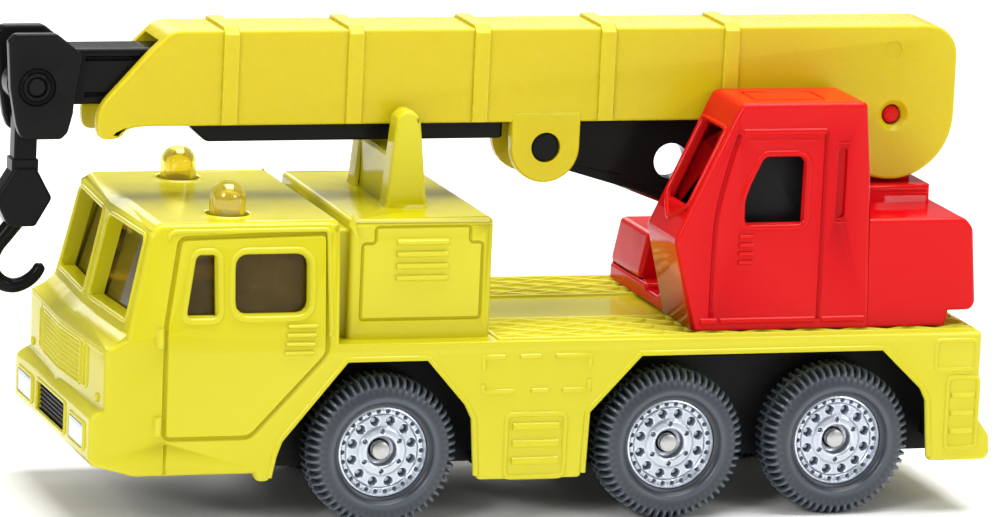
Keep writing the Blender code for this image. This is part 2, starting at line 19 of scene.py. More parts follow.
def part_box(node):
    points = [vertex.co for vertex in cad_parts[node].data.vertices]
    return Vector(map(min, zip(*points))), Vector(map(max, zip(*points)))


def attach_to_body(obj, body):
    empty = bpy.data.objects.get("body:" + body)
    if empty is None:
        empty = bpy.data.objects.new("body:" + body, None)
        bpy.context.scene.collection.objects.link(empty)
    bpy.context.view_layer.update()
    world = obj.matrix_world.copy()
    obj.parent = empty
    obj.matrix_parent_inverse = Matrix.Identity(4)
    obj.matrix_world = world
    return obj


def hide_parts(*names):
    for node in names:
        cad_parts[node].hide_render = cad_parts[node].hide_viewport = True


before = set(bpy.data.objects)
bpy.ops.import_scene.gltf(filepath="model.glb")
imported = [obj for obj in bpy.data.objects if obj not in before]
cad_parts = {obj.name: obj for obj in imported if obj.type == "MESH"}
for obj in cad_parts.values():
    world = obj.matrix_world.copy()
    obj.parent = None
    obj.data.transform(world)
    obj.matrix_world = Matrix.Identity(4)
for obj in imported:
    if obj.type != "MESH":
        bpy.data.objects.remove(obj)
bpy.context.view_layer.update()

Array = npt.NDArray[np.float64]
Colour = tuple[float, float, float]
MM = 0.001
LOG = logging.getLogger("crane_truck")


class Axis(Enum):
    """Axis of a plate's thickness, with the two axes that its outline is drawn on."""

    X = (0, 1, 2)
    Y = (1, 0, 2)
    Z = (2, 0, 1)


class Cut(Enum):
    """The three ways of combining two closed meshes."""

    ADD = "UNION"
    TAKE = "DIFFERENCE"
    KEEP = "INTERSECT"


@dataclass(frozen=True)
class Solid:
    """A closed surface: its points, one row each, and its faces as point numbers."""

    points: Array
    faces: list[list[int]]

    def mirrored(self) -> "Solid":
        """The same solid on the other side of the truck's middle plane."""
        return Solid(self.points * np.array([-1.0, 1.0, 1.0]), self.faces)


def both_sides(solids: Iterable[Solid]) -> list[Solid]:
    """The solids given, with their mirror images."""
    kept = list(solids)
    return kept + [solid.mirrored() for solid in kept]


def loft(rings: Array, loop: bool = False) -> Solid:
    """Joins closed rings of points into a closed surface.

    Face (i, j) runs from ring i to ring i + 1 and from point j to point j + 1.

    Args:
        rings: Points as an array of rings by points by 3.
        loop: True if the last ring joins the first; otherwise both ends are capped.

    Returns:
        The closed solid.
    """
    count, size = rings.shape[:2]
    row = np.arange(count if loop else count - 1)[:, None]
    column = np.arange(size)[None, :]
    after_row, after_column = (row + 1) % count, (column + 1) % size
    quads = np.stack([row * size + column, row * size + after_column,
                      after_row * size + after_column, after_row * size + column], axis=-1)
    faces = quads.reshape(-1, 4).tolist()
    if not loop:
        faces.append(list(range(size))[::-1])
        faces.append([(count - 1) * size + index for index in range(size)])
    return Solid(rings.reshape(-1, 3), faces)


def bar(path: Sequence[Sequence[float]], out: Sequence[float], section: Array, loop: bool = False) -> Solid:
    """Carries a section along a path that lies on a surface.

    Point (i, j) = path[i] + section[j, 0] * across[i] + section[j, 1] * out, where across is the
    mean of the two neighbouring edges' sideways directions, lengthened to keep a mitre's width.

    Args:
        path: Points of the path.
        out: The surface's outward direction.
        section: Pairs of distance across the path and distance outwards.
        loop: True if the path closes.

    Returns:
        The bar as a closed solid.
    """
    line = np.asarray(path, float)
    normal = np.asarray(out, float) / np.linalg.norm(out)
    step = np.diff(np.vstack([line, line[:1]]) if loop else line, axis=0)
    side = np.cross(step / np.linalg.norm(step, axis=1, keepdims=True), normal)
    before = np.roll(side, 1, axis=0) if loop else np.vstack([side[:1], side])
    after = side if loop else np.vstack([side, side[-1:]])
    total = before + after
    across = 2.0 * total / np.sum(total ** 2, axis=1, keepdims=True)
    rings = line[:, None] + section[None, :, :1] * across[:, None] + section[None, :, 1:] * normal
    return loft(rings, loop)


def ridge(width: float, height: float, root: float = 0.3) -> Array:
    """Section of a raised line: a bell-shaped top on a root that sinks into the surface."""
    turn = np.linspace(-1.0, 1.0, 7)
    top = np.stack([turn * width / 2, height * (1.0 - np.abs(turn) ** 2.6)], axis=1)
    ends = np.array([[width / 2, -root], [-width / 2, -root]])
    return np.vstack([top, ends])


def groove(width: float, depth: float, proud: float = 0.4) -> Array:
    """Section of a cutter for a moulded line: a rounded floor and lips that lean outwards."""
    turn = np.linspace(-1.0, 1.0, 7)
    floor = np.stack([turn * width / 2, -depth * (1.0 - np.abs(turn) ** 3.0)], axis=1)
    lip = width / 2 + 0.25 * proud
    return np.vstack([floor, [[lip, proud], [-lip, proud]]])


def inset(outline: Array, distance: float) -> Array:
    """Draws a closed outline in by a distance, keeping its sides parallel.

    Each corner moves along the sum of its two sides' inward normals n1 + n2, by
    2 * distance * (n1 + n2) / |n1 + n2| ** 2.
    """
    after = np.roll(outline, -1, axis=0) - outline
    after = after / np.linalg.norm(after, axis=1, keepdims=True)
    x, y = outline[:, 0], outline[:, 1]
    sign = np.sign(np.sum(x * np.roll(y, -1) - y * np.roll(x, -1)))
    normal = sign * np.stack([-after[:, 1], after[:, 0]], axis=1)
    total = normal + np.roll(normal, 1, axis=0)
    return outline + 2.0 * distance * total / np.sum(total ** 2, axis=1, keepdims=True)


def soften(outline: Sequence[Sequence[float]], radius: float, steps: int = 4) -> Array:
    """Rounds the corners of a closed outline.

    Each corner p becomes the quadratic curve (1-t)^2 a + 2t(1-t) p + t^2 b between the points
    a and b that lie a radius back and a radius on, or half a side if that is less.
    """
    corner = np.asarray(outline, float)
    back = np.roll(corner, 1, axis=0) - corner
    ahead = np.roll(corner, -1, axis=0) - corner
    back_size = np.linalg.norm(back, axis=1, keepdims=True)
    ahead_size = np.linalg.norm(ahead, axis=1, keepdims=True)
    start = corner + back / back_size * np.minimum(radius, 0.49 * back_size)
    end = corner + ahead / ahead_size * np.minimum(radius, 0.49 * ahead_size)
    t = np.linspace(0.0, 1.0, steps + 1)[None, :, None]
    curve = (1 - t) ** 2 * start[:, None] + 2 * t * (1 - t) * corner[:, None] + t ** 2 * end[:, None]
    return curve.reshape(-1, 2)


def arc(centre: Sequence[float], radius: float, start: float, end: float, steps: int) -> Array:
    """Points on a circle between two angles in degrees."""
    turn = np.radians(np.linspace(start, end, steps + 1))
    return np.column_stack([centre[0] + radius * np.cos(turn), centre[1] + radius * np.sin(turn)])


def plate(outline: Array, axis: Axis, base: float, face: float, rounding: float = 0.0,
          steps: int = 3) -> Solid:
    """A flat outline with a thickness, its edge rounded towards one face.

    Ring t is the outline drawn in by r (1 - cos t) at the level face -+ r (1 - sin t).

    Args:
        outline: Points of the outline on the axis's two other axes.
        axis: The axis of the thickness.
        base: Level of the square-edged end.
        face: Level of the rounded end.
        rounding: Radius r of the edge.
        steps: Steps in the rounding.

    Returns:
        The plate as a closed solid.
    """
    outline = np.asarray(outline, float)
    way = math.copysign(1.0, face - base)
    turns = np.linspace(0.0, math.pi / 2, steps + 1) if rounding else np.array([0.0])
    levels = [(0.0, base)] + [
        (rounding * (1 - math.cos(turn)), face - way * rounding * (1 - math.sin(turn))) for turn in turns]
    along, across, up = axis.value
    rings = np.empty((len(levels), len(outline), 3))
    for ring, (distance, level) in zip(rings, levels):
        drawn = inset(outline, distance)
        ring[:, along] = level
        ring[:, across] = drawn[:, 0]
        ring[:, up] = drawn[:, 1]
    return loft(rings)


def slab(outline: Array, axis: Axis, low: float, high: float, rounding: float, steps: int = 3) -> Solid:
    """A flat outline with a thickness, its edges rounded towards both faces."""
    middle = (low + high) / 2
    lower, upper = (plate(outline, axis, middle, face, rounding, steps).points.reshape(-1, len(outline), 3)
                    for face in (low, high))
    return loft(np.concatenate([lower[::-1], upper[1:]]))


def block(low: Sequence[float], high: Sequence[float], axis: Axis, rounding: float = 0.0,
          face_low: bool = False) -> Solid:
    """A rectangular block between two corners, rounded towards one face of an axis."""
    along, across, up = axis.value
    corners = [(low[across], low[up]), (high[across], low[up]),
               (high[across], high[up]), (low[across], high[up])]
    ends = (high[along], low[along]) if face_low else (low[along], high[along])
    return plate(soften(corners, rounding or 0.01, 3), axis, ends[0], ends[1], rounding)


def turned(profile: Sequence[Sequence[float]], centre: Sequence[float], axis: Axis, way: float = 1.0,
           steps: int = 48, loop: bool = False) -> Solid:
    """Turns a profile about a line.

    Point (i, j) lies at radius r_i and angle 2 pi j / steps, at the distance h_i along the line.

    Args:
        profile: Pairs of radius and height.
        centre: The point that heights start from.
        axis: The line's axis.
        way: 1 or -1, the direction of growing height.
        steps: Points around.
        loop: True for a profile that closes on itself.

    Returns:
        The turned solid.
    """
    radius, height = np.asarray(profile, float).T
    turn = np.arange(steps) * (2 * math.pi / steps)
    along, across, up = axis.value
    rings = np.empty((len(radius), steps, 3))
    rings[..., along] = centre[along] + way * height[:, None]
    rings[..., across] = centre[across] + radius[:, None] * np.cos(turn)
    rings[..., up] = centre[up] + radius[:, None] * np.sin(turn)
    return loft(rings, loop)


def tube(path: Array, radii: Array, steps: int = 16, flat: float = 1.0) -> Solid:
    """A bent bar of changing thickness in a plane of constant X.

    Point (i, j) = path[i] + radius[i] (cos a_j * normal[i] + flat * sin a_j * X), where normal is
    the path's direction turned a quarter in its plane.
    """
    direction = np.gradient(path, axis=0)
    direction /= np.linalg.norm(direction, axis=1, keepdims=True)
    turn = np.arange(steps) * (2 * math.pi / steps)
    normal = np.stack([np.zeros(len(path)), -direction[:, 2], direction[:, 1]], axis=1)
    reach = radii[:, None, None]
    rings = path[:, None] + reach * np.cos(turn)[None, :, None] * normal[:, None]
    rings[..., 0] += radii[:, None] * flat * np.sin(turn)[None, :]
    return loft(rings)


def smooth_path(points: Sequence[Sequence[float]], steps: int) -> Array:
    """A curve through points: the Catmull-Rom cubic between each pair, sampled evenly."""
    known = np.asarray(points, float)
    padded = np.vstack([2 * known[0] - known[1], known, 2 * known[-1] - known[-2]])
    place = np.linspace(0.0, len(known) - 1 - 1e-9, steps)
    index = place.astype(int)
    t = (place - index)[:, None]
    a, b, c, d = padded[index], padded[index + 1], padded[index + 2], padded[index + 3]
    return 0.5 * (2 * b + (c - a) * t + (2 * a - 5 * b + 4 * c - d) * t ** 2
                  + (3 * b - a - 3 * c + d) * t ** 3)


def mesh_object(name: str, solids: Iterable[Solid], crease: float = 32.0) -> bpy.types.Object:
    """Makes one object of closed solids, with normals pointing out and smooth shading.

    Args:
        name: Name of the object.
        solids: The solids that it holds.
        crease: Angle in degrees above which an edge stays sharp.

    Returns:
        The new object.
    """
    points: list[Array] = []
    faces: list[list[int]] = []
    first = 0
    for solid in solids:
        points.append(solid.points)
        faces.extend([[index + first for index in face] for face in solid.faces])
        first += len(solid.points)
    mesh = bpy.data.meshes.new(name)
    mesh.from_pydata(np.vstack(points) * MM, [], faces)
    shape = bmesh.new()
    shape.from_mesh(mesh)
    bmesh.ops.remove_doubles(shape, verts=shape.verts, dist=1e-7)
    bmesh.ops.recalc_face_normals(shape, faces=shape.faces)
    shape.to_mesh(mesh)
    shape.free()
    piece = bpy.data.objects.new(name, mesh)
    bpy.context.scene.collection.objects.link(piece)
    shade(piece, crease)
    return piece


def shade(piece: bpy.types.Object, crease: float) -> None:
    """Shades a piece smooth, apart from edges sharper than an angle in degrees."""
    piece.data.shade_smooth()
    piece.data.set_sharp_from_angle(angle=math.radians(crease))


def flatten_faces(piece: bpy.types.Object) -> None:
    """Weighs a piece's normals by face area, so broad faces look flat beside rounded edges."""
    change = piece.modifiers.new("weigh", "WEIGHTED_NORMAL")
    change.mode = "FACE_AREA"
    change.keep_sharp = True
    settle(piece)


def merged_copy(node: str, name: str) -> bpy.types.Object:
    """A copy of a CAD node whose loose triangles are merged into flat faces."""
    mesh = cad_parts[node].data.copy()
    mesh.materials.clear()
    shape = bmesh.new()
    shape.from_mesh(mesh)
    bmesh.ops.remove_doubles(shape, verts=shape.verts, dist=2e-6)
    bmesh.ops.dissolve_limit(shape, angle_limit=math.radians(0.6), verts=shape.verts, edges=shape.edges)
    bmesh.ops.dissolve_degenerate(shape, edges=shape.edges, dist=1e-5)
    shape.to_mesh(mesh)
    shape.free()
    mesh.name = name
    piece = bpy.data.objects.new(name, mesh)
    bpy.context.scene.collection.objects.link(piece)
    return piece


def settle(piece: bpy.types.Object) -> None:
    """Makes a piece's modifiers part of its mesh."""
    seen = piece.evaluated_get(bpy.context.evaluated_depsgraph_get())
    mesh = bpy.data.meshes.new_from_object(seen)
    piece.modifiers.clear()
    piece.data = mesh


def combine(piece: bpy.types.Object, solids: Iterable[Solid], how: Cut, crossing: bool = False) -> None:
    """Adds solids to a piece, or takes them away, with one exact Boolean.

    Args:
        piece: The piece that changes.
        solids: The solids that are added or taken away.
        how: The way of combining.
        crossing: True if the solids cross each other.
    """
    tool = mesh_object(piece.name + "_tool", solids)
    change = piece.modifiers.new("combine", "BOOLEAN")
    change.operation = how.value
    change.solver = "EXACT"
    change.use_self = crossing
    change.object = tool
    settle(piece)
    bpy.data.objects.remove(tool, do_unlink=True)


def round_edges(piece: bpy.types.Object, width: float, angle: float = 28.0, steps: int = 3,
                where: Callable[[Vector], bool] = lambda middle: True) -> None:
    """Rounds the outward edges of a piece that are sharper than an angle.

    Args:
        piece: The piece.
        width: Width of the rounding.
        angle: Least angle in degrees between the two faces.
        steps: Segments across the rounding.
        where: Tells from an edge's middle, in millimetres, whether it is rounded.
    """
    shape = bmesh.new()
    shape.from_mesh(piece.data)
    shape.normal_update()
    chosen = [
        edge for edge in shape.edges
        if len(edge.link_faces) == 2 and edge.is_convex
        and edge.calc_face_angle(0.0) > math.radians(angle)
        and where((edge.verts[0].co + edge.verts[1].co) / (2 * MM))]
    bmesh.ops.bevel(shape, geom=chosen, offset=width * MM, offset_type="OFFSET", segments=steps,
                    profile=0.5, affect="EDGES", clamp_overlap=False, miter_outer="ARC")
    shape.to_mesh(piece.data)
    shape.free()


def mark_bends(piece: bpy.types.Object, reach: float = 0.35) -> None:
    """Stores how far each point stands out (above 0) or lies in a corner (below 0).

    For each edge the bend is (n2 - n1) . (p2 - p1) / |p2 - p1|, times the reach over the edge's
    length where that is below one; a point takes the mean over its edges.
    """
    mesh = piece.data
    count = len(mesh.vertices)
    place = np.empty(count * 3)
    mesh.vertices.foreach_get("co", place)
    normal = np.empty(count * 3)
    mesh.vertex_normals.foreach_get("vector", normal)
    ends = np.empty(len(mesh.edges) * 2, int)
    mesh.edges.foreach_get("vertices", ends)
    place, normal, ends = place.reshape(-1, 3) / MM, normal.reshape(-1, 3), ends.reshape(-1, 2)
    step = place[ends[:, 1]] - place[ends[:, 0]]
    length = np.maximum(np.linalg.norm(step, axis=1), 1e-6)
    bend = np.sum((normal[ends[:, 1]] - normal[ends[:, 0]]) * step, axis=1) / length
    bend *= np.minimum(1.0, reach / length)
    total, weight = np.zeros(count), np.zeros(count)
    for column in (0, 1):
        np.add.at(total, ends[:, column], bend)
        np.add.at(weight, ends[:, column], 1.0)
    stored = mesh.attributes.new("bend", "FLOAT", "POINT")
    stored.data.foreach_set("value", np.clip(total / np.maximum(weight, 1.0), -1, 1).astype(np.float32))


# ---------------------------------------------------------------- finishes


class Links:
    """Short calls for making nodes and joining them in one node tree."""

    def __init__(self, tree: bpy.types.NodeTree) -> None:
        """Keeps the tree that the nodes go into."""
        self.tree = tree

    def add(self, kind: str, **values: object) -> bpy.types.Node:
        """Adds a node and sets its properties and, by name, its inputs."""
        node = self.tree.nodes.new("ShaderNode" + kind)
        for key, value in values.items():
            if hasattr(node, key):
                setattr(node, key, value)
            else:
                node.inputs[key.replace("_", " ")].default_value = value
        return node

    def join(self, source: bpy.types.NodeSocket, target: bpy.types.NodeSocket) -> None:
        """Joins an output to an input."""
        self.tree.links.new(source, target)

    def maths(self, operation: str, first: object, second: object = 0.0) -> bpy.types.NodeSocket:
        """Adds a Math node fed by numbers or outputs, and returns its result."""
        node = self.tree.nodes.new("ShaderNodeMath")
        node.operation = operation
        for socket, value in zip(node.inputs, (first, second)):
            if isinstance(value, bpy.types.NodeSocket):
                self.join(value, socket)
            else:
                socket.default_value = value
        return node.outputs[0]

    def blend(self, mode: str, share: object, first: object, second: object) -> bpy.types.NodeSocket:
        """Adds a colour Mix node and returns its result."""
        node = self.tree.nodes.new("ShaderNodeMix")
        node.data_type = "RGBA"
        node.blend_type = mode
        for socket, value in zip((node.inputs[0], node.inputs[6], node.inputs[7]), (share, first, second)):
            if isinstance(value, bpy.types.NodeSocket):
                self.join(value, socket)
            else:
                socket.default_value = value
        return node.outputs[2]


def new_group(name: str, inputs: dict[str, float | Colour], outputs: dict[str, str]) -> tuple[
        bpy.types.NodeTree, bpy.types.Node, bpy.types.Node]:
    """Makes a shader node group with named sockets.

    Args:
        name: Name of the group.
        inputs: Default of each input; three numbers make a colour.
        outputs: Socket type of each output.

    Returns:
        The group with its input and output nodes.
    """
    group = bpy.data.node_groups.new(name, "ShaderNodeTree")
    for label, value in inputs.items():
        is_colour = isinstance(value, tuple)
        socket = group.interface.new_socket(
            label, in_out="INPUT", socket_type="NodeSocketColor" if is_colour else "NodeSocketFloat")
        socket.default_value = (*value, 1.0) if is_colour else value
    for label, kind in outputs.items():
        group.interface.new_socket(label, in_out="OUTPUT", socket_type=kind)
    return group, group.nodes.new("NodeGroupInput"), group.nodes.new("NodeGroupOutput")


def build_skin_group() -> bpy.types.NodeTree:
    """Builds the effect that every opaque finish shares.

    Colour drifts a little with a broad noise. By the stored bend it takes a painted highlight
    (a lighter colour) at outward edges and a painted shade (a darker colour) in corners and grooves,
    and it carries sparse specks. Roughness drifts with a finer noise. The height is a fine grain plus
    a broader waviness, as of enamel or moulded plastic.
    """
    group, given, put = new_group(
        "moulded_skin",
        {"Colour": (0.5, 0.5, 0.5), "Painted highlight colour": (0.6, 0.6, 0.6), "Painted shade and speck colour": (0.3, 0.3, 0.3),
         "Painted highlight share": 0.3, "Painted shade share": 0.5, "Drift": 0.05, "Roughness": 0.3, "Roughness drift": 0.1,
         "Grain scale": 2000.0, "Grain depth": 0.1, "Wave scale": 250.0, "Wave depth": 0.3, "Specks": 0.1},
        {"Colour": "NodeSocketColor", "Roughness": "NodeSocketFloat", "Normal": "NodeSocketVector"})
    make = Links(group)
    place = make.add("TexCoord").outputs["Object"]
    bend = make.add("Attribute", attribute_name="bend").outputs["Fac"]
    # edge marks outward edges for a painted highlight; corner marks hollows and grooves for a painted shade
    # and a rougher finish.
    edge = make.maths("MINIMUM", make.maths("MULTIPLY", make.maths("MAXIMUM", bend, 0.0), 3.0), 1.0)
    corner = make.maths("MINIMUM", make.maths("MULTIPLY", make.maths("MAXIMUM", make.maths(
        "MULTIPLY", bend, -1.0), 0.0), 3.0), 1.0)
    broad = make.add("TexNoise", Scale=90.0, Detail=3.0)
    fine = make.add("TexNoise", Scale=1400.0, Detail=2.0)
    grain = make.add("TexNoise", Detail=2.0)
    wave = make.add("TexNoise", Detail=1.0)
    speck = make.add("TexVoronoi", Scale=420.0, feature="F1")
    for node in (broad, fine, grain, wave, speck):
        make.join(place, node.inputs["Vector"])
    make.join(given.outputs["Grain scale"], grain.inputs["Scale"])
    make.join(given.outputs["Wave scale"], wave.inputs["Scale"])
    drift = make.maths("ADD", 1.0, make.maths("MULTIPLY", make.maths(
        "SUBTRACT", broad.outputs["Fac"], 0.5), make.maths("MULTIPLY", given.outputs["Drift"], 4.0)))
    shade_of = make.tree.nodes.new("ShaderNodeCombineColor")
    for socket in shade_of.inputs[:3]:
        make.join(drift, socket)
    colour = make.blend("MULTIPLY", 1.0, given.outputs["Colour"], shade_of.outputs[0])
    # Painted highlight: outward edges are mixed towards a lighter colour.
    colour = make.blend("MIX", make.maths("MULTIPLY", edge, given.outputs["Painted highlight share"]),
                        colour, given.outputs["Painted highlight colour"])
    # Painted shade: corners and grooves are mixed towards a darker colour.
    colour = make.blend("MIX", make.maths("MULTIPLY", corner, given.outputs["Painted shade share"]),
                        colour, given.outputs["Painted shade and speck colour"])
    # Specks take the same dark colour as the painted shade.
    spot = make.maths("MULTIPLY", make.maths("LESS_THAN", speck.outputs["Distance"], 0.045),
                      given.outputs["Specks"])
    colour = make.blend("MIX", spot, colour, given.outputs["Painted shade and speck colour"])
    rough = make.maths("ADD", given.outputs["Roughness"], make.maths("MULTIPLY", make.maths(
        "SUBTRACT", fine.outputs["Fac"], 0.5), given.outputs["Roughness drift"]))
    rough = make.maths("ADD", rough, make.maths("MULTIPLY", corner, 0.12))
    height = make.maths("ADD", make.maths("MULTIPLY", grain.outputs["Fac"], given.outputs["Grain depth"]),
                        make.maths("MULTIPLY", wave.outputs["Fac"], given.outputs["Wave depth"]))
    bump = make.add("Bump", Strength=1.0, Distance=0.0001)
    make.join(height, bump.inputs["Height"])
    make.join(colour, put.inputs["Colour"])
    make.join(rough, put.inputs["Roughness"])
    make.join(bump.outputs["Normal"], put.inputs["Normal"])
    return group


@dataclass(frozen=True)
class Finish:
    """One finish: a shader with constant values, and the skin effect's values for it."""

    name: str
    colour: Colour
    # edge is the colour of the painted highlight on outward edges; corner is the colour of the painted shade
    # in corners and grooves, and also of the specks.
    edge: Colour
    corner: Colour
    roughness: float
    # These two shares set how strongly the painted highlight and the painted shade show.
    highlight_share: float = 0.3
    shade_share: float = 0.5
    drift: float = 0.03
    roughness_drift: float = 0.1
    grain_scale: float = 2200.0
    grain_depth: float = 0.05
    wave_scale: float = 260.0
    wave_depth: float = 0.2
    specks: float = 0.0
    metallic: float = 0.0
    coat: float = 0.0
    subsurface: float = 0.0
    transmission: float = 0.0
    ior: float = 1.5

    def material(self, skin: bpy.types.NodeTree) -> bpy.types.Material:
        """Builds the finish's material, or returns it if it is there already."""
        known = bpy.data.materials.get(self.name)
        if known is not None:
            return known
        material = bpy.data.materials.new(self.name)
        material.use_nodes = True
        make = Links(material.node_tree)
        shader = material.node_tree.nodes["Principled BSDF"]
        shader.inputs["Metallic"].default_value = self.metallic
        shader.inputs["Coat Weight"].default_value = self.coat
        shader.inputs["Coat Roughness"].default_value = 0.06
        shader.inputs["IOR"].default_value = self.ior
        shader.inputs["Transmission Weight"].default_value = self.transmission
        shader.inputs["Subsurface Weight"].default_value = self.subsurface
        shader.inputs["Subsurface Radius"].default_value = (0.6, 0.45, 0.1)
        shader.inputs["Subsurface Scale"].default_value = 0.0012
        effect = material.node_tree.nodes.new("ShaderNodeGroup")
        effect.node_tree = skin
        values = {
            "Colour": (*self.colour, 1.0), "Painted highlight colour": (*self.edge, 1.0),
            "Painted shade and speck colour": (*self.corner, 1.0), "Painted highlight share": self.highlight_share,
            "Painted shade share": self.shade_share, "Drift": self.drift, "Roughness": self.roughness,
            "Roughness drift": self.roughness_drift, "Grain scale": self.grain_scale,
            "Grain depth": self.grain_depth, "Wave scale": self.wave_scale,
            "Wave depth": self.wave_depth, "Specks": self.specks}
        for label, value in values.items():
            effect.inputs[label].default_value = value
        make.join(effect.outputs["Colour"], shader.inputs["Base Color"])
        make.join(effect.outputs["Roughness"], shader.inputs["Roughness"])
        make.join(effect.outputs["Normal"], shader.inputs["Normal"])
        material.diffuse_color = (*self.colour, 1.0)
        return material


# Each finish lists its own colour, then a lighter colour for the painted highlight on edges and a darker
# colour for the painted shade in corners.
YELLOW_ENAMEL = Finish("yellow_enamel", (0.54, 0.485, 0.005), (0.76, 0.71, 0.09), (0.27, 0.23, 0.002),
                       0.14, wave_depth=0.3, grain_depth=0.02, specks=0.15, drift=0.02, shade_share=0.75,
                       ior=1.3)
RED_ENAMEL = Finish("red_enamel", (0.55, 0.002, 0.005), (0.75, 0.03, 0.02), (0.2, 0.0, 0.001),
                    0.1, wave_depth=0.3, grain_depth=0.02, specks=0.1, drift=0.02, shade_share=0.7, ior=1.2)
BOOM_PLASTIC = Finish("boom_yellow_plastic", (0.56, 0.455, 0.004), (0.78, 0.68, 0.05), (0.4, 0.3, 0.004),
                      0.27, wave_depth=0.12, grain_depth=0.08, subsurface=0.25, drift=0.02, ior=1.3)
BLACK_GLOSS = Finish("black_gloss_plastic", (0.006, 0.006, 0.006), (0.02, 0.02, 0.02), (0.002, 0.002, 0.002),
                     0.16, wave_depth=0.2, grain_depth=0.05, ior=1.15)
BLACK_SATIN = Finish("black_satin_plastic", (0.008, 0.008, 0.009), (0.03, 0.03, 0.031), (0.003, 0.003, 0.003),
                     0.4, wave_depth=0.15, grain_depth=0.15, ior=1.2)
TYRE = Finish("tyre_blue_black", (0.022, 0.027, 0.036), (0.16, 0.2, 0.25), (0.006, 0.008, 0.011),
              0.34, highlight_share=0.45, grain_depth=0.08, wave_depth=0.15)
SILVER = Finish("printed_silver", (0.46, 0.5, 0.57), (0.86, 0.9, 0.96), (0.07, 0.09, 0.13),
                0.3, highlight_share=0.7, shade_share=0.85, metallic=0.85, grain_depth=0.25,
                grain_scale=3800.0, drift=0.05)
STEEL = Finish("drawn_steel", (0.42, 0.42, 0.41), (0.6, 0.6, 0.6), (0.1, 0.1, 0.1),
               0.32, metallic=1.0, grain_depth=0.3, grain_scale=3000.0)
DARK_BROWN = Finish("dark_brown_plastic", (0.05, 0.03, 0.012), (0.12, 0.08, 0.04), (0.02, 0.01, 0.004), 0.5)
LENS = Finish("amber_lens", (0.95, 0.82, 0.08), (1.0, 0.95, 0.3), (0.6, 0.45, 0.02), 0.05,
              transmission=0.85, ior=1.58, grain_depth=0.0, wave_depth=0.1, drift=0.02, roughness_drift=0.02)
AMBER = Finish("amber_window", (0.50, 0.34, 0.05), (0.6, 0.45, 0.1), (0.4, 0.25, 0.02), 0.06,
               transmission=0.9, ior=1.58, grain_depth=0.0, wave_depth=0.15, drift=0.02, roughness_drift=0.02)


@dataclass
class Workshop:
    """Hands each finished piece its finish, its body and the CAD nodes that it stands for."""

    skin: bpy.types.NodeTree = field(default_factory=build_skin_group)

    def dress(self, piece: bpy.types.Object, finish: Finish, body: str,
              nodes: Sequence[str] = ()) -> bpy.types.Object:
        """Gives a new piece its finish and its place in the model.

        Args:
            piece: The piece.
            finish: Its finish.
            body: The CAD body that it rides on.
            nodes: CAD nodes that it replaces.

        Returns:
            The piece.
        """
        piece.data.materials.clear()
        piece.data.materials.append(finish.material(self.skin))
        mark_bends(piece)
        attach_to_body(piece, body)
        if nodes:
            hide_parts(*nodes)
        LOG.info("%s: %d faces on %s", piece.name, len(piece.data.polygons), body)
        return piece

    def keep(self, node: str, finish: Finish) -> None:
        """Gives a CAD node that stays visible its finish."""
        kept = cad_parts[node]
        kept.data.materials.clear()
        kept.data.materials.append(finish.material(self.skin))
        LOG.info("%s: CAD node kept", node)


# ---------------------------------------------------------------- wheels


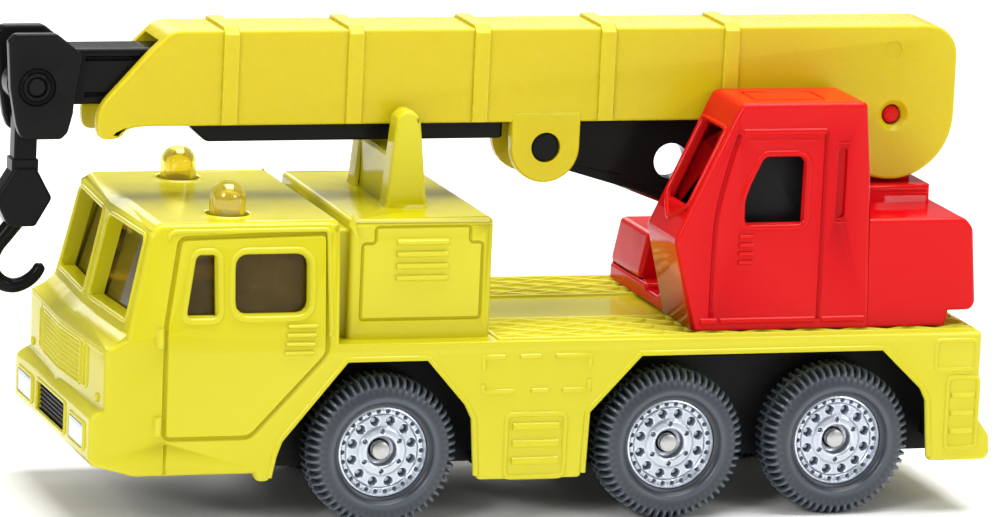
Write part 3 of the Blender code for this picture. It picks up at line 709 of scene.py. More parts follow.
@dataclass
class Wheel:
    """One wheel: a tyre with moulded lugs, and a printed rim with its holes."""

    place: str
    side: str
    radius: float = 7.0
    lugs: int = 58
    lug_depth: float = 0.42
    width: float = 4.6
    seat: float = 4.2
    holes: int = 12
    notches: int = 26

    def __post_init__(self) -> None:
        """Reads the wheel's place from its CAD tyre."""
        low, high = (np.array(corner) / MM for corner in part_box(f"tyre_{self.place}_{self.side}"))
        self.way = 1.0 if self.side == "left" else -1.0
        inner = low[0] if self.way > 0 else high[0]
        self.centre = (inner, (low[1] + high[1]) / 2, (low[2] + high[2]) / 2)

    def tyre(self) -> Solid:
        """The tyre: a closed profile whose tread and shoulders dip between the lugs.

        Radius (i, j) = r_i - tread_i * depth * wave(j) and width (i, j) = w_i - shoulder_i * depth *
        wave(j), where wave is a sine sharpened into flats, once round per lug.
        """
        r, w = self.radius, self.width
        knots = np.array([
            # radius, width, dip of radius, dip of width
            (self.seat, 0.0, 0, 0), (5.3, 0.0, 0, 0), (6.1, 0.15, 0, 0), (6.5, 0.45, 0, 0),
            (6.8, 0.6, 0.5, 0), (r, 0.95, 1, 0), (r, 1.6, 1, 0), (r, 2.2, 1, 0), (r, 2.25, 0.3, 0),
            (r - 0.05, 2.5, 0.3, 0), (r, 2.55, 1, 0), (r, 3.2, 1, 0), (r - 0.04, w - 0.95, 1, 0.6),
            (r - 0.22, w - 0.55, 0.9, 0.9), (r - 0.5, w - 0.3, 0.3, 1.0), (r - 0.75, w - 0.2, 0, 0.8),
            (r - 0.95, w - 0.16, 0, 0.1), (6.0, w - 0.15, 0, 0), (5.5, w - 0.08, 0, 0),
            (5.25, w - 0.02, 0, 0), (5.05, w, 0, 0), (4.85, w - 0.06, 0, 0), (4.7, w - 0.2, 0, 0),
            (4.6, w - 0.42, 0, 0), (4.42, w - 0.55, 0, 0), (self.seat, w - 0.6, 0, 0)])
        turn = np.arange(self.lugs * 8) * (2 * math.pi / (self.lugs * 8))
        wave = 0.5 - 0.5 * np.clip(2.4 * np.cos(self.lugs * turn), -1.0, 1.0)
        reach = knots[:, 0, None] - self.lug_depth * knots[:, 2, None] * wave
        depth = knots[:, 1, None] - 0.3 * knots[:, 3, None] * wave
        x, y, z = self.centre
        rings = np.stack([x + self.way * depth, y + reach * np.cos(turn), z + reach * np.sin(turn)], axis=-1)
        return loft(rings, loop=True)

    def rim(self) -> Solid:
        """The rim: a turned dish with round holes pressed into its face.

        Depth (r, a) = dish(r) - the sum over holes of depth * a smooth step of the distance from
        the hole's centre, with the holes spread evenly around three circles.
        """
        reach = np.concatenate([
            [1.02, 1.02, 1.3, 1.36], np.linspace(1.42, 3.4, 26), np.linspace(3.46, 3.92, 8),
            [4.0, 4.08, 4.14, 4.14]])
        known = np.array([(1.0, 2.6), (1.29, 2.6), (1.37, 3.62), (1.6, 3.72), (2.1, 3.66), (2.3, 3.55),
                          (3.3, 3.5), (3.42, 3.42), (3.5, 3.55), (3.85, 3.62), (4.0, 3.9), (4.14, 3.85)])
        face = np.interp(reach, known[:, 0], known[:, 1])
        face[0], face[-1] = 0.3, 0.3
        turn = np.arange(312) * (2 * math.pi / 312)
        depth = np.repeat(face[:, None], len(turn), axis=1)
        for count, circle, size, sink, start in (
                (self.holes, 2.86, 0.36, 0.75, 0.5), (6, 1.86, 0.2, 0.35, 0.5),
                (self.notches, 3.72, 0.17, 0.3, 0.0)):
            spacing = 2 * math.pi / count
            nearest = (np.mod(turn / spacing - start + 0.5, 1.0) - 0.5) * spacing
            away = np.hypot(reach[:, None] - circle, circle * nearest[None, :])
            share = np.clip((size * 1.25 - away) / (size * 0.5), 0.0, 1.0)
            depth -= sink * share * share * (3 - 2 * share) * (face > 1.0)[:, None]
        x, y, z = self.centre
        rings = np.stack([x + self.way * depth, y + reach[:, None] * np.cos(turn),
                          z + reach[:, None] * np.sin(turn)], axis=-1)
        return loft(rings, loop=True)

    def build(self, shop: Workshop) -> None:
        """Makes the wheel's two pieces."""
        body = "wheelset_" + self.place
        label = f"{self.place}_{self.side}"
        tyre = mesh_object("tyre_tread_" + label, [self.tyre()], crease=50)
        shop.dress(tyre, TYRE, body, [f"tyre_{label}"])
        rim = mesh_object("rim_face_" + label, [self.rim()], crease=50)
        shop.dress(rim, SILVER, body, [f"rim_{label}"])


@dataclass
class Axle:
    """One axle, with its ends rounded over as a pressed wire's are."""

    place: str
    radius: float = 0.85

    def build(self, shop: Workshop) -> None:
        """Makes the axle from its CAD box."""
        low, high = (np.array(corner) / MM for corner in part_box("axle_" + self.place))
        length, soft = high[0] - low[0], 0.2
        profile = [(self.radius - soft, 0.0), (self.radius - 0.06, 0.06), (self.radius, soft),
                   (self.radius, length - soft), (self.radius - 0.06, length - 0.06),
                   (self.radius - soft, length)]
        centre = (low[0], (low[1] + high[1]) / 2, (low[2] + high[2]) / 2)
        piece = mesh_object("axle_wire_" + self.place, [turned(profile, centre, Axis.X)])
        shop.dress(piece, STEEL, "wheelset_" + self.place, ["axle_" + self.place])


# ---------------------------------------------------------------- castings and mouldings


def adopt(piece: bpy.types.Object, part: bpy.types.Object) -> None:
    """Moves another object's mesh into a piece and removes the object."""
    shape = bmesh.new()
    shape.from_mesh(piece.data)
    shape.from_mesh(part.data)
    shape.to_mesh(piece.data)
    shape.free()
    bpy.data.objects.remove(part, do_unlink=True)


def attach(piece: bpy.types.Object, solids: Iterable[Solid], crease: float = 32.0) -> None:
    """Adds closed solids to a piece's mesh, each rooted in its surface."""
    adopt(piece, mesh_object(piece.name + "_trim", solids, crease))


def cast_form(node: str, name: str, softness: float, angle: float = 28.0) -> bpy.types.Object:
    """A CAD node's form with its outward edges rounded over, as a casting's are."""
    piece = merged_copy(node, name)
    round_edges(piece, softness, angle)
    shade(piece, 38.0)
    return piece


def level(outline: Array, axis: Axis, height: float) -> Array:
    """Lays a flat outline in space at a height along an axis."""
    along, across, up = axis.value
    line = np.empty((len(outline), 3))
    line[:, along] = height
    line[:, across] = outline[:, 0]
    line[:, up] = outline[:, 1]
    return line


@dataclass
class TruckBody:
    """The yellow casting: cab, engine box, deck, skirts and boom rest, with its moulded lines."""

    half_width: float = 14.0
    roof_half_width: float = 12.7
    deck_top: float = 17.2
    roof: float = 28.3
    box_half_width: float = 11.8
    box_top: float = 28.2
    softness: float = 0.42
    roof_softness: float = 0.6
    line: Array = field(default_factory=lambda: groove(0.5, 0.26))
    fine_line: Array = field(default_factory=lambda: groove(0.34, 0.18))

    def side_x(self, z: Array) -> Array:
        """Distance of the side from the middle at a height: upright, then leaning in above the deck."""
        share = np.clip((z - self.deck_top) / (self.roof - self.deck_top), 0.0, 1.0)
        return self.half_width + share * (self.roof_half_width - self.half_width)

    def on_side(self, points: Sequence[Sequence[float]], loop: bool = False) -> Array:
        """Lays (y, z) points on the left side, with extra points every 1.5 mm or so."""
        corner = np.asarray(points, float)
        after = np.roll(corner, -1, axis=0) if loop else corner[1:]
        pieces = [
            start + (end - start) * np.linspace(
                0, 1, max(2, int(np.linalg.norm(end - start) / 1.5)), endpoint=False)[:, None]
            for start, end in zip(corner, after)]
        line = np.vstack(pieces if loop else pieces + [corner[-1:]])
        return np.column_stack([self.side_x(line[:, 1]), line])

    def side_line(self, points: Sequence[Sequence[float]], width: float, height: float,
                  loop: bool = False) -> Solid:
        """A raised line on the body's side, of a width and a height."""
        return bar(self.on_side(points, loop), (1, 0, 0), ridge(width, height), loop)

    def door_lines(self) -> list[Solid]:
        """The door's outline, the seam under it and the roof's gutter."""
        door = soften([(-31.7, 27.0), (-33.0, 19.0), (-32.9, 8.9), (-24.9, 8.9),
                       (-17.95, 16.4), (-17.95, 27.3)], 0.7)
        seam = [(-32.75, 8.4), (-32.75, 5.0)]
        return [bar(self.on_side(door, True), (1, 0, 0), self.line, True),
                bar(self.on_side(seam), (1, 0, 0), self.fine_line)]

    def door_trim(self) -> list[Solid]:
        """Raised parts of the cab's side: window frames, hinges, handle and gutter."""
        quarter = inset(soften([(-31.0, 20.0), (-28.3, 20.0), (-28.4, 25.4), (-30.1, 25.4)], 0.5), -0.42)
        main = inset(soften([(-26.5, 20.1), (-19.8, 20.1), (-19.8, 25.4), (-26.5, 25.4)], 1.2), -0.42)
        frames = [self.side_line(edge, 0.62, 0.24, True)
                  for edge in (quarter, main)]
        gutter = soften([(-32.9, 26.9), (-32.4, 27.6), (-17.9, 27.6), (-17.6, 18.0)], 0.5)[2:-1]
        gutters = [self.side_line(gutter, 0.42, 0.2)]
        hinges = [self.side_line([(-33.55, z), (-33.55, z + 1.7)], 0.8, 0.4)
                  for z in (17.3, 9.3)]
        handle = [self.side_line([(-22.0 + 0.1 * row, z), (-19.3 + 0.1 * row, z)], 0.42, 0.3)
                  for row, z in enumerate((16.6, 17.4, 18.2, 19.0))]
        return frames + gutters + hinges + handle

    def skirt_trim(self) -> list[Solid]:
        """Raised parts of the skirts: arch flanges, locker frame, steps, rear plate and ladder."""
        arches = (
            [(-23.0, 4.9), (-22.6, 6.9), (-22.1, 8.3), (-16.1, 15.6), (-8.4, 15.6), (-4.6, 11.3),
             (-3.9, 9.9), (-3.5, 4.6)],
            [(6.7, 4.6), (6.9, 10.3), (11.8, 15.6), (35.4, 15.6), (39.4, 11.8), (40.0, 10.6), (40.4, 5.2)])
        flanges = [self.side_line(np.asarray(arch) + [0.0, 0.25], 0.5, 0.16)
                   for arch in arches]
        locker = [[(-3.2, 13.3), (-3.2, 12.6), (-0.2, 12.6)], [(1.4, 12.6), (3.0, 12.6)],
                  [(4.4, 12.6), (6.9, 12.6), (6.9, 13.6)], [(6.9, 14.8), (6.9, 15.8), (3.6, 15.8)],
                  [(2.2, 15.8), (0.2, 15.8)], [(-1.2, 15.8), (-3.2, 15.8), (-3.2, 14.6)]]
        frames = [self.side_line(part, 0.5, 0.2) for part in locker]
        steps = soften([(-0.8, 4.6), (4.8, 4.6), (4.8, 10.4), (-0.8, 10.4)], 0.6)
        frames.append(self.side_line(steps, 0.5, 0.22, True))
        frames += [self.side_line([(-0.2, z), (4.2, z)], 0.8, 0.3)
                   for z in (9.3, 7.7, 6.1)]
        ladder = soften([(41.9, 6.2), (44.9, 6.2), (44.9, 12.9), (41.9, 12.9)], 0.6)
        frames.append(self.side_line(ladder, 0.5, 0.22, True))
        frames += [self.side_line([(42.3, z), (44.5, z)], 0.6, 0.26)
                   for z in (11.2, 9.5, 7.8)]
        rear = soften([(40.6, 13.65), (44.5, 13.65), (44.5, 16.4), (40.6, 16.4)], 0.5)
        frames.append(self.side_line(rear, 0.45, 0.18, True))
        return flanges + frames

    def box_lines(self) -> list[Solid]:
        """The hatch's outline on the engine box's side, with stepped upper corners."""
        x = self.box_half_width
        hatch = soften([(-14.4, 19.0), (-3.1, 19.0), (-3.1, 26.0), (-4.3, 26.0), (-4.3, 27.5), (-13.2, 27.5),
                        (-13.2, 26.0), (-14.4, 26.0)], 0.4)
        return [bar(np.column_stack([np.full(len(hatch), x), hatch]), (1, 0, 0), self.fine_line, True)]

    def box_trim(self) -> list[Solid]:
        """The louvre's ribs on the engine box's side."""
        x = self.box_half_width
        return [bar([(x, -11.2, z), (x, -6.4, z)], (1, 0, 0), ridge(0.62, 0.34))
                for z in (22.8, 23.9, 25.0, 26.1)]

    def on_roof_edge(self, middle: Vector) -> bool:
        """True for the outer edges around the cab's roof and the engine box's top."""
        return middle.z > self.box_top - 0.3 and abs(middle.x) > 9.5 and not (
            math.hypot(abs(middle.x) - 8.6, middle.y + 26.3) < 2.2)

    def in_front_opening(self, middle: Vector) -> bool:
        """True for the edges of the windscreen's panes, the bumper's intake and the ledge under the cowl."""
        pane = middle.y < -33.0 and abs(middle.x) < 12.3 and 19.3 < middle.z < 27.2
        intake = middle.y < -36.0 and abs(middle.x) < 5.4 and 7.4 < middle.z < 10.7
        bow = abs(middle.x) < 0.3 and middle.y < -33.0
        ledge = middle.y < -34.5 and abs(middle.x) < 13.6 and 16.2 < middle.z < 19.0
        return pane or intake or bow or ledge

    def front_y(self, x: Array, z: Array) -> Array:
        """The front's place: upright nose, leaning windscreen, and a bow towards the middle."""
        plain = np.interp(z, [11.8, 17.1, 18.1, 27.6], [-38.5, -38.5, -36.5, -34.4])
        return plain - 0.7 * (1.0 - np.abs(x) / self.half_width)

    def on_front(self, points: Sequence[Sequence[float]], loop: bool = False) -> Array:
        """Lays (x, z) points on the front, with extra points every millimetre or so."""
        corner = np.asarray(points, float)
        after = np.roll(corner, -1, axis=0) if loop else corner[1:]
        parts = [start + (end - start) * np.linspace(
            0, 1, max(2, int(np.linalg.norm(end - start))), endpoint=False)[:, None]
            for start, end in zip(corner, after)]
        line = np.vstack(parts if loop else parts + [corner[-1:]])
        return np.column_stack([line[:, 0], self.front_y(line[:, 0], line[:, 1]), line[:, 1]])

    def front_trim(self) -> list[Solid]:
        """Raised parts of the front: pane frames, grille mesh with its frame, bolts and intake lip."""
        out = (0.0, -1.0, 0.0)
        parts = []
        for side in (-1, 1):
            pane = soften([(side * 1.1, 19.6), (side * 12.0, 19.6),
                           (side * 11.6, 26.9), (side * 1.1, 26.9)], 0.5)
            parts.append(bar(self.on_front(inset(pane, -0.25), True), (0, -1, 0.25), ridge(0.42, 0.16), True))
            slot = soften([(side * 7.6, 12.7), (side * 8.7, 12.7),
                           (side * 8.7, 16.6), (side * 7.6, 16.6)], 0.5)
            parts.append(bar(self.on_front(slot, True), out, ridge(0.34, 0.16), True))
            parts.append(turned([(0.42, -0.4), (0.42, 0.1), (0.36, 0.24), (0.2, 0.32), (0.01, 0.34)],
                                (side * 11.9, -38.55, 12.5), Axis.Y, -1.0, 16))
        mesh_frame = soften([(-6.7, 12.6), (6.7, 12.6), (6.7, 16.5), (-6.7, 16.5)], 0.3)
        parts.append(bar(self.on_front(mesh_frame, True), out, ridge(0.34, 0.18), True))
        thread = ridge(0.16, 0.12, 0.2)
        parts += [bar(self.on_front([(x, 12.7), (x, 16.4)]), out, thread) for x in np.arange(-6.3, 6.4, 0.45)]
        parts += [bar(self.on_front([(-6.6, z), (6.6, z)]), out, thread) for z in np.arange(13.0, 16.4, 0.45)]
        lip = soften([(-5.25, 7.6), (5.25, 7.6), (5.25, 10.5), (-5.25, 10.5)], 0.4)
        parts.append(bar(self.on_bumper(lip), out, ridge(0.4, 0.16), True))
        return parts + [self.cowl()]

    def cowl(self) -> Solid:
        """The rounded ledge between the nose and the windscreen, following the front's bow.

        Ring x holds a quarter turn from the nose's face up to the ledge, then a straight run back
        into the windscreen, and a square end inside the casting.
        """
        x = np.linspace(-13.45, 13.45, 37)
        turn = np.linspace(0.0, math.pi / 2, 7)
        nose, foot = self.front_y(x, np.full(x.shape, 16.5)), self.front_y(x, np.full(x.shape, 18.5))
        proud, radius = 0.08, 0.8
        bow_y = (nose - proud)[:, None] + radius * (1.0 - np.cos(turn))
        bow_z = np.broadcast_to(16.55 + radius * np.sin(turn), bow_y.shape)
        y = np.column_stack([bow_y, foot, foot + 1.5, foot + 1.5])
        z = np.column_stack([bow_z, np.full(x.shape, 18.5), np.full(x.shape, 18.5), np.full(x.shape, 16.55)])
        return loft(np.stack([np.broadcast_to(x[:, None], y.shape), y, z], axis=-1))

    def on_bumper(self, points: Array) -> Array:
        """Lays (x, z) points on the bumper's upright face."""
        return np.column_stack([points[:, 0], np.full(len(points), -39.8), points[:, 1]])

    def lamp_frames(self) -> list[Solid]:
        """The raised frame around a headlamp."""
        frame_line = soften([(7.0, 7.75), (12.3, 7.75), (12.3, 10.2), (7.0, 10.2)], 0.5)
        return [bar(self.on_bumper(frame_line), (0, -1, 0), ridge(0.4, 0.2), True)]

    def deck_tread(self) -> list[Solid]:
        """The deck's raised lattice: two families of slanting lines, clipped to each side's strip.

        A line leaves one edge of the strip at y and meets the other edge at y + rise; each end is
        cut back where it would pass the strip's own ends.
        """
        low_x, high_x, low_y, high_y, pitch = 5.0, 13.3, -1.6, 44.4, 4.75
        rise = pitch * (high_x - low_x) / 2.6
        section = ridge(0.42, 0.24)
        lines = []
        for start in np.arange(low_y - rise, high_y, pitch):
            for way in (1, -1):
                first = np.array([low_x if way > 0 else high_x, start])
                last = np.array([high_x if way > 0 else low_x, start + rise])
                shares = np.clip((np.array([low_y, high_y]) - start) / rise, 0.0, 1.0)
                if shares[1] - shares[0] > 0.04:
                    ends = first + (last - first) * shares[:, None]
                    lines.append(bar(np.column_stack([ends, [self.deck_top] * 2]), (0, 0, 1), section))
        border = [(low_x, low_y), (high_x, low_y), (high_x, high_y), (low_x, high_y)]
        lines.append(bar([(*corner, self.deck_top) for corner in border], (0, 0, 1), section, True))
        return lines

    def build(self, shop: Workshop) -> None:
        """Makes the body and dresses it."""
        piece = merged_copy("truck_body", "body_casting")
        round_edges(piece, self.roof_softness, where=self.on_roof_edge)
        round_edges(piece, self.softness, where=lambda middle: not self.in_front_opening(middle))
        combine(piece, both_sides(self.door_lines() + self.box_lines()), Cut.TAKE, crossing=True)
        attach(piece, both_sides(self.door_trim() + self.skirt_trim() + self.box_trim() + self.deck_tread()))
        attach(piece, self.front_trim() + both_sides(self.lamp_frames()))
        shade(piece, 38.0)
        flatten_faces(piece)
        shop.dress(piece, YELLOW_ENAMEL, "chassis", ["truck_body"])


@dataclass
class Underframe:
    """The black base with its softened edges, and the ribbed intake in the bumper."""

    softness: float = 0.22
    half: float = 4.9
    face: float = -39.55

    def intake(self) -> list[Solid]:
        """The intake's front: a plate crossed by level ribs."""
        plate_form = block((-self.half, self.face, 7.85), (self.half, -38.9, 10.25), Axis.Y, 0.1,
                           face_low=True)
        ribs = [bar([(-self.half + 0.25, self.face, z), (self.half - 0.25, self.face, z)], (0, -1, 0),
                    ridge(0.26, 0.16)) for z in np.arange(8.2, 10.1, 0.42)]
        return [plate_form] + ribs

    def build(self, shop: Workshop) -> None:
        """Makes the base and the intake's front."""
        piece = cast_form("underframe", "base_moulding", self.softness)
        flatten_faces(piece)
        shop.dress(piece, BLACK_SATIN, "chassis", ["underframe"])
        intake = mesh_object("intake_ribs", self.intake())
        shop.dress(intake, BLACK_SATIN, "chassis")


@dataclass
class Turret:
    """The red casting: operator cab with its door, low housing, counterweight and boom tongue."""

    softness: float = 0.45
    side: float = 12.4
    roof: float = 38.5

    def flat(self, points: Sequence[Sequence[float]], softness: float = 0.0) -> Array:
        """Lays (y, z) points on the operator cab's side."""
        line = soften(points, softness) if softness else np.asarray(points, float)
        return level(line, Axis.X, self.side)

    def lines(self) -> list[Solid]:
        """Cut lines: the door panel's outline, the slot behind it and the roof hatch."""
        out = (1, 0, 0)
        wide = groove(0.55, 0.22)
        door = smooth_path([(18.9, 18.4), (18.9, 24.0), (19.1, 28.5), (20.1, 33.0), (20.9, 35.6)], 14)
        slot = soften([(30.5, 27.8), (31.4, 27.8), (31.4, 34.3), (30.5, 34.3)], 0.44)
        lines = [bar(level(door, Axis.X, self.side), out, wide),
                 bar(self.flat([(29.35, 18.4), (29.35, 35.8)]), out, wide)]
        lines.append(plate(slot, Axis.X, self.side - 0.35, self.side + 0.5))
        hatch = soften([(6.3, 22.9), (10.4, 22.9), (10.4, 29.6), (6.3, 29.6)], 0.4)
        lines.append(bar(level(hatch, Axis.Z, self.roof), (0, 0, 1), groove(0.4, 0.16), True))
        return lines

    def trim(self) -> list[Solid]:
        """Raised parts: window frames, door head, handle ribs and the bead along the foot."""
        out = (1, 0, 0)
        window = [(21.8, 27.4), (27.3, 27.4), (27.35, 33.0), (27.0, 33.5), (23.4, 33.5),
                  (22.2, 30.9), (21.75, 29.5)]
        parts = [bar(level(inset(soften(window, 0.5), -0.4), Axis.X, self.side), out, ridge(0.6, 0.22), True)]
        parts.append(bar(self.flat([(21.2, 35.9), (29.2, 35.9)]), out, ridge(0.6, 0.22)))
        parts.append(bar(self.flat([(21.4, 35.1), (28.4, 35.1)]), out, ridge(0.36, 0.12)))
        parts += [bar(self.flat([(21.25, z), (22.6, z)]), out, ridge(0.46, 0.3))
                  for z in (26.2, 25.4, 24.6, 23.8)]
        for low, high in ((17.9, 19.4), (19.8, 29.0), (29.7, 33.8)):
            parts.append(bar(self.flat([(low, 18.3), (high, 18.3)]), out, ridge(0.6, 0.2)))
        rails = [bar(self.flat([(31.0, z), (31.0, z + 0.1)]), out, ridge(1.3, 0.24)) for z in (34.75, 27.35)]
        return parts + rails

    def front_frame(self) -> list[Solid]:
        """The frame around the sloping front window, with its lower edge drawn down to a point."""
        outline = soften([(5.0, 29.0), (8.2, 27.2), (11.4, 29.0), (11.4, 36.1), (5.0, 36.1)], 0.5)
        slope = np.interp(outline[:, 1], [17.5, 25.9, 37.3], [17.1, 15.1, 20.4])
        return [bar(np.column_stack([outline[:, 0], slope, outline[:, 1]]),
                    (0, -0.9, 0.42), ridge(0.5, 0.2), True)]

    def build(self, shop: Workshop) -> None:
        """Makes the turret and dresses it."""
        piece = merged_copy("turret_body", "turret_casting")
        round_edges(piece, self.softness, where=lambda middle: middle.z > 18.0 and not (
            abs(middle.x) < 2.6 and middle.z > 28.0))
        combine(piece, self.lines(), Cut.TAKE, crossing=True)
        attach(piece, self.trim() + self.front_frame())
        shade(piece, 38.0)
        flatten_faces(piece)
        shop.dress(piece, RED_ENAMEL, "turret", ["turret_body"])
        # A dark block inside the operator cab, seen through its windows: painted shade standing in for the
        # shadowed inside of the hollow cab.
        outline = soften([(19.9, 19.7), (18.6, 25.9), (22.4, 36.6), (32.0, 36.6), (32.4, 19.7)], 0.5)
        painted_shade_block = mesh_object("operator_cab_painted_shade", [plate(outline, Axis.X, 5.1, 10.3, 0.4)])
        shop.dress(painted_shade_block, BLACK_SATIN, "turret")


@dataclass
class Boom:
    """The yellow boom: a hollow moulding with ribs over its back and two lugs for the ram's pin."""

    half: float = 3.4
    wall: float = 1.0
    top: float = 44.1
    bottom: float = 35.35
    softness: float = 0.3
    ribs: tuple[float, ...] = (-25.0, -13.3, -1.3, 10.8, 22.8)
    pivot: tuple[float, float] = (39.1, 35.6)
    lug: tuple[float, float] = (5.2, 33.0)
    ejector: tuple[float, float] = (38.8, 41.8)

    def outline(self) -> Array:
        """The boom from its side: a sloping nose with a lip, and a round lobe about the pivot."""
        nose = [(-30.5, self.top), (-32.5, 42.2), (-36.7, 37.6), (-37.3, 36.3), (-37.1, 34.2), (-35.4, 34.2),
                (-34.8, 34.5), (-34.5, 35.1), (-33.0, self.bottom), (32.7, self.bottom)]
        return soften(np.vstack([nose, arc(self.pivot, 6.1, 200.0, 360.0, 14), [(45.2, 41.0)],
                                 arc((42.3, 41.2), 2.9, 10.0, 90.0, 5)]), 0.8, 3)

    def cuts(self) -> list[Solid]:
        """The hollow, open below and in front, the dished holes of the pivot and the mould's marks."""
        inside = self.half - self.wall
        hollow = [(-40.0, 28.0), (50.0, 28.0), (50.0, 34.8), (44.2, 34.8), (44.2, 43.1), (-40.0, 43.1)]
        dish = [(0.96, -1.3), (0.96, -0.5), (1.0, -0.42), (1.3, -0.16), (1.5, 0.02), (1.56, 0.5)]
        mark = [(0.78, -0.07), (0.82, 0.0), (0.82, 0.4)]
        return [plate(hollow, Axis.X, -inside, inside)] + both_sides([
            turned(dish, (self.half, *self.pivot), Axis.X, 1.0, 40),
            turned(mark, (self.half, *self.ejector), Axis.X, 1.0, 28)])

    def rib(self, place: float) -> Solid:
        """A flat band over the boom's back, its corners turned with the boom's."""
        turn = 0.5
        path = [(-self.half, place, 35.5), (-self.half, place, self.top - turn),
                (turn - self.half, place, self.top), (self.half - turn, place, self.top),
                (self.half, place, self.top - turn), (self.half, place, 35.5)]
        section = [(-0.5, -0.75), (0.2, -0.75), (0.29, -0.7), (0.33, -0.62), (0.33, 0.62), (0.29, 0.7),
                   (0.2, 0.75), (-0.5, 0.75)]
        return bar(path, (0, 1, 0), np.array(section))

    def lugs(self) -> bpy.types.Object:
        """The two round lugs under the boom, bored for the ram's pin."""
        shape = np.vstack([arc(self.lug, 3.3, 180.0, 360.0, 24), [(8.5, 36.3), (1.9, 36.3)]])
        lug = plate(shape, Axis.X, self.half - self.wall, self.half + 0.12, 0.3)
        piece = mesh_object("lugs", both_sides([lug]))
        combine(piece, [turned([(1.4, -5.0), (1.4, 5.0)], (0.0, *self.lug), Axis.X, 1.0, 36)], Cut.TAKE)
        shade(piece, 38.0)
        return piece

    def build(self, shop: Workshop) -> None:
        """Makes the boom, its ribs and its lugs."""
        body = slab(self.outline(), Axis.X, -self.half, self.half, self.softness)
        piece = mesh_object("boom_moulding", [body])
        combine(piece, self.cuts(), Cut.TAKE, crossing=True)
        shade(piece, 38.0)
        adopt(piece, self.lugs())
        attach(piece, [self.rib(place) for place in self.ribs], 38.0)
        flatten_faces(piece)
        shop.dress(piece, BOOM_PLASTIC, "boom", ["boom_outer"])


@dataclass
class BoomExtension:
    """The black inner boom: a grooved bar with its head, and the pin's domed end in a ringed dish."""

    softness: float = 0.3
    half: float = 2.1
    cheek: float = 3.1
    pin: tuple[float, float] = (-42.8, 39.0)

    def build(self, shop: Workshop) -> None:
        """Makes the inner boom and dresses it."""
        piece = merged_copy("boom_inner", "inner_boom_moulding")
        round_edges(piece, self.softness, angle=20.0, where=lambda middle: math.hypot(
            middle.y - self.pin[0], middle.z - self.pin[1]) > 1.4)
        rails = [bar([(self.half, -38.2, z), (self.half, 9.5, z)], (1, 0, 0), groove(0.5, 0.3))
                 for z in (41.4, 38.1)]
        ring = [(1.25, -0.12), (1.4, -0.2), (1.6, -0.2), (1.75, -0.06), (1.8, 0.3), (1.2, 0.3)]
        cuts = rails + [turned(ring, (self.cheek, *self.pin), Axis.X, 1.0, 36, loop=True)]
        combine(piece, both_sides(cuts), Cut.TAKE, crossing=True)
        shade(piece, 38.0)
        flatten_faces(piece)
        shop.dress(piece, BLACK_GLOSS, "boom_extension", ["boom_inner"])


@dataclass
class Ram:
    """The black ram: a web with a hole, and a round bar that slides in the turret's slot."""

    softness: float = 0.25

    def build(self, shop: Workshop) -> None:
        """Makes the ram and dresses it."""
        piece = cast_form("lift_ram", "ram_moulding", self.softness, 40.0)
        flatten_faces(piece)
        shop.dress(piece, BLACK_GLOSS, "ram", ["lift_ram"])


@dataclass
class Hook:
    """The black hook: eye on its trunnions, neck, six-sided block and a bend of tapering section."""

    pin: tuple[float, float] = (-42.8, 39.0)
    half: float = 1.3
    eye: float = 2.3

    def bend(self) -> Solid:
        """The hook's bend: a curve through its points, thickest in its back and thin at its tip."""
        path = smooth_path([(0, -43.4, 26.6), (0, -44.6, 25.1), (0, -45.5, 23.9), (0, -45.9, 22.6),
                            (0, -45.6, 21.4), (0, -44.8, 20.6), (0, -43.7, 20.3), (0, -42.6, 20.6),
                            (0, -41.7, 21.3), (0, -41.1, 22.3)], 56)
        share = np.linspace(0.0, 1.0, len(path))
        radii = 0.84 - 0.3 * share ** 1.5
        tip = np.sqrt(np.clip(1.0 - ((share - 0.955) / 0.045) ** 2, 0.02, 1.0))
        return tube(path, radii * np.where(share > 0.955, tip, 1.0), 20)

    def build(self, shop: Workshop) -> None:
        """Makes the hook and dresses it."""
        y, z = self.pin
        soft = 0.3
        eye = [(self.eye - soft, 0.0), (self.eye, soft),
               (self.eye, 2 * self.half - soft), (self.eye - soft, 2 * self.half)]
        trunnion = [(0.7, 0.0), (0.85, 0.15), (0.85, 6.0), (0.7, 6.15)]
        neck = soften([(-1.0, -44.2), (1.0, -44.2), (1.0, -42.1), (-1.0, -42.1)], 0.25)
        collar = soften([(-1.15, -44.4), (1.15, -44.4), (1.15, -41.95), (-1.15, -41.95)], 0.2)
        face = soften([(-44.1, 31.4), (-45.9, 28.5), (-44.6, 25.9), (-42.1, 25.9),
                       (-40.6, 28.5), (-42.2, 31.4)], 0.3)
        solids = [
            turned(eye, (-self.half, y, z), Axis.X, 1.0, 40),
            turned(trunnion, (-3.075, y, z), Axis.X, 1.0, 28),
            plate(neck, Axis.Z, 30.9, 37.8), plate(collar, Axis.Z, 31.0, 32.1, 0.12),
            slab(face, Axis.X, -self.half, self.half, 0.3), self.bend()]
        piece = mesh_object("hook_moulding", solids)
        flatten_faces(piece)
        shop.dress(piece, BLACK_GLOSS, "hook", ["hook"])


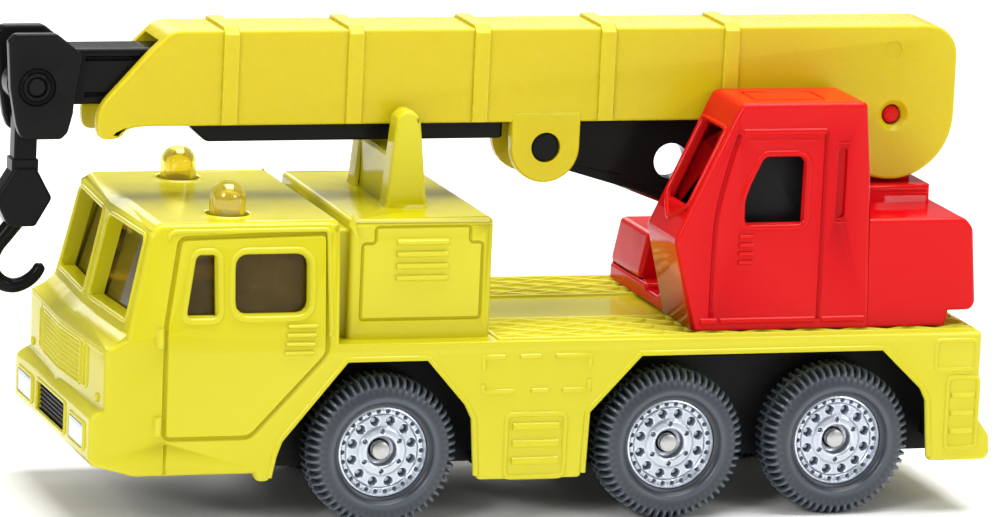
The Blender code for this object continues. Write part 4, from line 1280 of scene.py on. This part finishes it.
@dataclass
class Glazing:
    """The amber moulding: a hood of windows inside the cab, and two domed beacons on its roof."""

    hood_top: float = 26.8
    beacon: tuple[float, float] = (8.6, -26.3)
    radius: float = 1.65
    wall: float = 0.45
    top: float = 31.4

    def lens(self) -> Solid:
        """One beacon: an upright wall under a dome, hollow inside."""
        dome = np.linspace(0.0, math.pi / 2, 9)
        shoulder = self.top - self.radius
        outer = np.column_stack([self.radius * np.cos(dome), shoulder + self.radius * np.sin(dome)])
        inner = np.column_stack([(self.radius - self.wall) * np.cos(dome),
                                 shoulder + (self.radius - self.wall) * np.sin(dome)])[::-1]
        foot = self.hood_top + 0.1
        profile = np.vstack([[(self.radius, foot)], outer, inner, [(self.radius - self.wall, foot)]])
        profile[:, 0] = np.maximum(profile[:, 0], 1e-9)
        return turned(profile, (*self.beacon, 0.0), Axis.Z, 1.0, 40, loop=True)

    def collar(self) -> Solid:
        """The thin dark-shadowed ring of paint around a beacon's hole."""
        profile = [(1.95, 0.0), (2.0, 0.1), (2.15, 0.14), (2.35, 0.0), (2.35, -0.3), (1.95, -0.3)]
        return turned(profile, (*self.beacon, 28.3), Axis.Z, 1.0, 40, loop=True)

    def build(self, shop: Workshop) -> None:
        """Makes the hood, the beacons and the rings around their holes."""
        hood = merged_copy("cab_glazing", "window_hood")
        combine(hood, [block((-20, -50, 0), (20, 0, self.hood_top), Axis.Z)], Cut.KEEP)
        shade(hood, 30.0)
        shop.dress(hood, AMBER, "chassis", ["cab_glazing"])
        lenses = mesh_object("beacon_lenses", both_sides([self.lens()]))
        shop.dress(lenses, LENS, "chassis")
        rings = mesh_object("beacon_collars", both_sides([self.collar()]))
        shop.dress(rings, YELLOW_ENAMEL, "chassis")


@dataclass
class Headlamps:
    """Silver printed lamp faces on the bumper."""

    low: tuple[float, float] = (7.2, 7.95)
    high: tuple[float, float] = (12.1, 10.0)
    face: float = -39.97

    def build(self, shop: Workshop) -> None:
        """Makes both lamp faces, each with a raised rib down its middle third."""
        (x0, z0), (x1, z1) = self.low, self.high
        faces = [block((x0, self.face, z0), (x1, -39.3, z1), Axis.Y, 0.12, face_low=True)]
        section = ridge(0.3, 0.06)
        faces += [bar([(x, self.face, z0 + 0.3), (x, self.face, z1 - 0.3)], (0, -1, 0), section)
                  for x in np.linspace(x0 + 0.8, x1 - 0.8, 6)]
        piece = mesh_object("headlamp_faces", both_sides(faces))
        shop.dress(piece, SILVER, "chassis")


@dataclass
class Stage:
    """The floor, the lights and the camera."""

    azimuth: float = 72.0
    elevation: float = 11.3
    roll: float = 2.6
    distance: float = 0.65
    seen_width: float = 0.0922
    aim: tuple[float, float, float] = (0.0, 0.0, 0.022)
    nudge: float = 0.0023

    def camera(self) -> None:
        """Sets the camera on its sphere about the aim point, with a long lens."""
        a, e = math.radians(self.azimuth), math.radians(self.elevation)
        way = Vector((math.cos(e) * math.sin(a), -math.cos(e) * math.cos(a), math.sin(e)))
        data = bpy.data.cameras.new("camera")
        data.sensor_width = 36.0
        data.lens = 36.0 * self.distance / self.seen_width
        data.clip_end = 10.0
        eye = bpy.data.objects.new("camera", data)
        bpy.context.scene.collection.objects.link(eye)
        turn = way.to_track_quat("Z", "Y").to_matrix() @ Matrix.Rotation(math.radians(self.roll), 3, "Z")
        target = Vector(self.aim) + turn @ Vector((self.nudge, 0.0, 0.0))
        eye.matrix_world = Matrix.Translation(target + way * self.distance) @ turn.to_4x4()
        bpy.context.scene.camera = eye

    def lamp(self, name: str, place: Sequence[float], size: float, power: float) -> None:
        """Adds a square soft lamp that faces the toy."""
        data = bpy.data.lights.new(name, "AREA")
        data.shape = "SQUARE"
        data.size = size
        data.energy = power
        lamp = bpy.data.objects.new(name, data)
        bpy.context.scene.collection.objects.link(lamp)
        lamp.location = place
        lamp.rotation_euler = Vector(place).to_track_quat("Z", "Y").to_euler()

    def build(self) -> None:
        """Makes the floor, the world and the lamps."""
        mesh = bpy.data.meshes.new("floor")
        reach = 3.0
        mesh.from_pydata([(-reach, -reach, 0), (reach, -reach, 0), (reach, reach, 0), (-reach, reach, 0)],
                         [], [(0, 1, 2, 3)])
        floor = bpy.data.objects.new("floor", mesh)
        bpy.context.scene.collection.objects.link(floor)
        material = bpy.data.materials.new("pale_floor")
        material.use_nodes = True
        shader = material.node_tree.nodes["Principled BSDF"]
        shader.inputs["Base Color"].default_value = (0.93, 0.93, 0.93, 1.0)
        shader.inputs["Roughness"].default_value = 0.9
        mesh.materials.append(material)
        world = bpy.data.worlds.new("studio")
        world.use_nodes = True
        world.node_tree.nodes["Background"].inputs["Color"].default_value = (1.0, 1.0, 1.0, 1.0)
        world.node_tree.nodes["Background"].inputs["Strength"].default_value = 0.34
        bpy.context.scene.world = world
        bpy.context.scene.view_settings.view_transform = "Standard"
        self.lamp("overhead", (0.0, 0.08, 0.75), 0.55, 8.4)
        self.lamp("key", (0.5, -0.55, 0.4), 0.25, 2.3)
        self.lamp("side", (0.7, 0.5, 0.35), 0.25, 1.5)
        self.lamp("back", (-0.6, 0.1, 0.4), 0.4, 1.5)
        self.camera()


def main() -> None:
    """Builds every piece in turn, then the stage."""
    logging.basicConfig(level=logging.INFO, format="%(message)s")
    shop = Workshop()
    TruckBody().build(shop)
    for place in ("front", "middle", "rear"):
        Axle(place).build(shop)
        for side in ("left", "right"):
            Wheel(place, side).build(shop)
    Glazing().build(shop)
    Headlamps().build(shop)
    shop.keep("cab_interior", DARK_BROWN)
    Underframe().build(shop)
    for node in ("rivet_front", "rivet_rear", "turret_rivet"):
        shop.keep(node, STEEL)
    for part in (Turret(), Boom(), BoomExtension(), Ram(), Hook()):
        part.build(shop)
    Stage().build()
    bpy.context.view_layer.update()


if __name__ == "__main__":
    main()
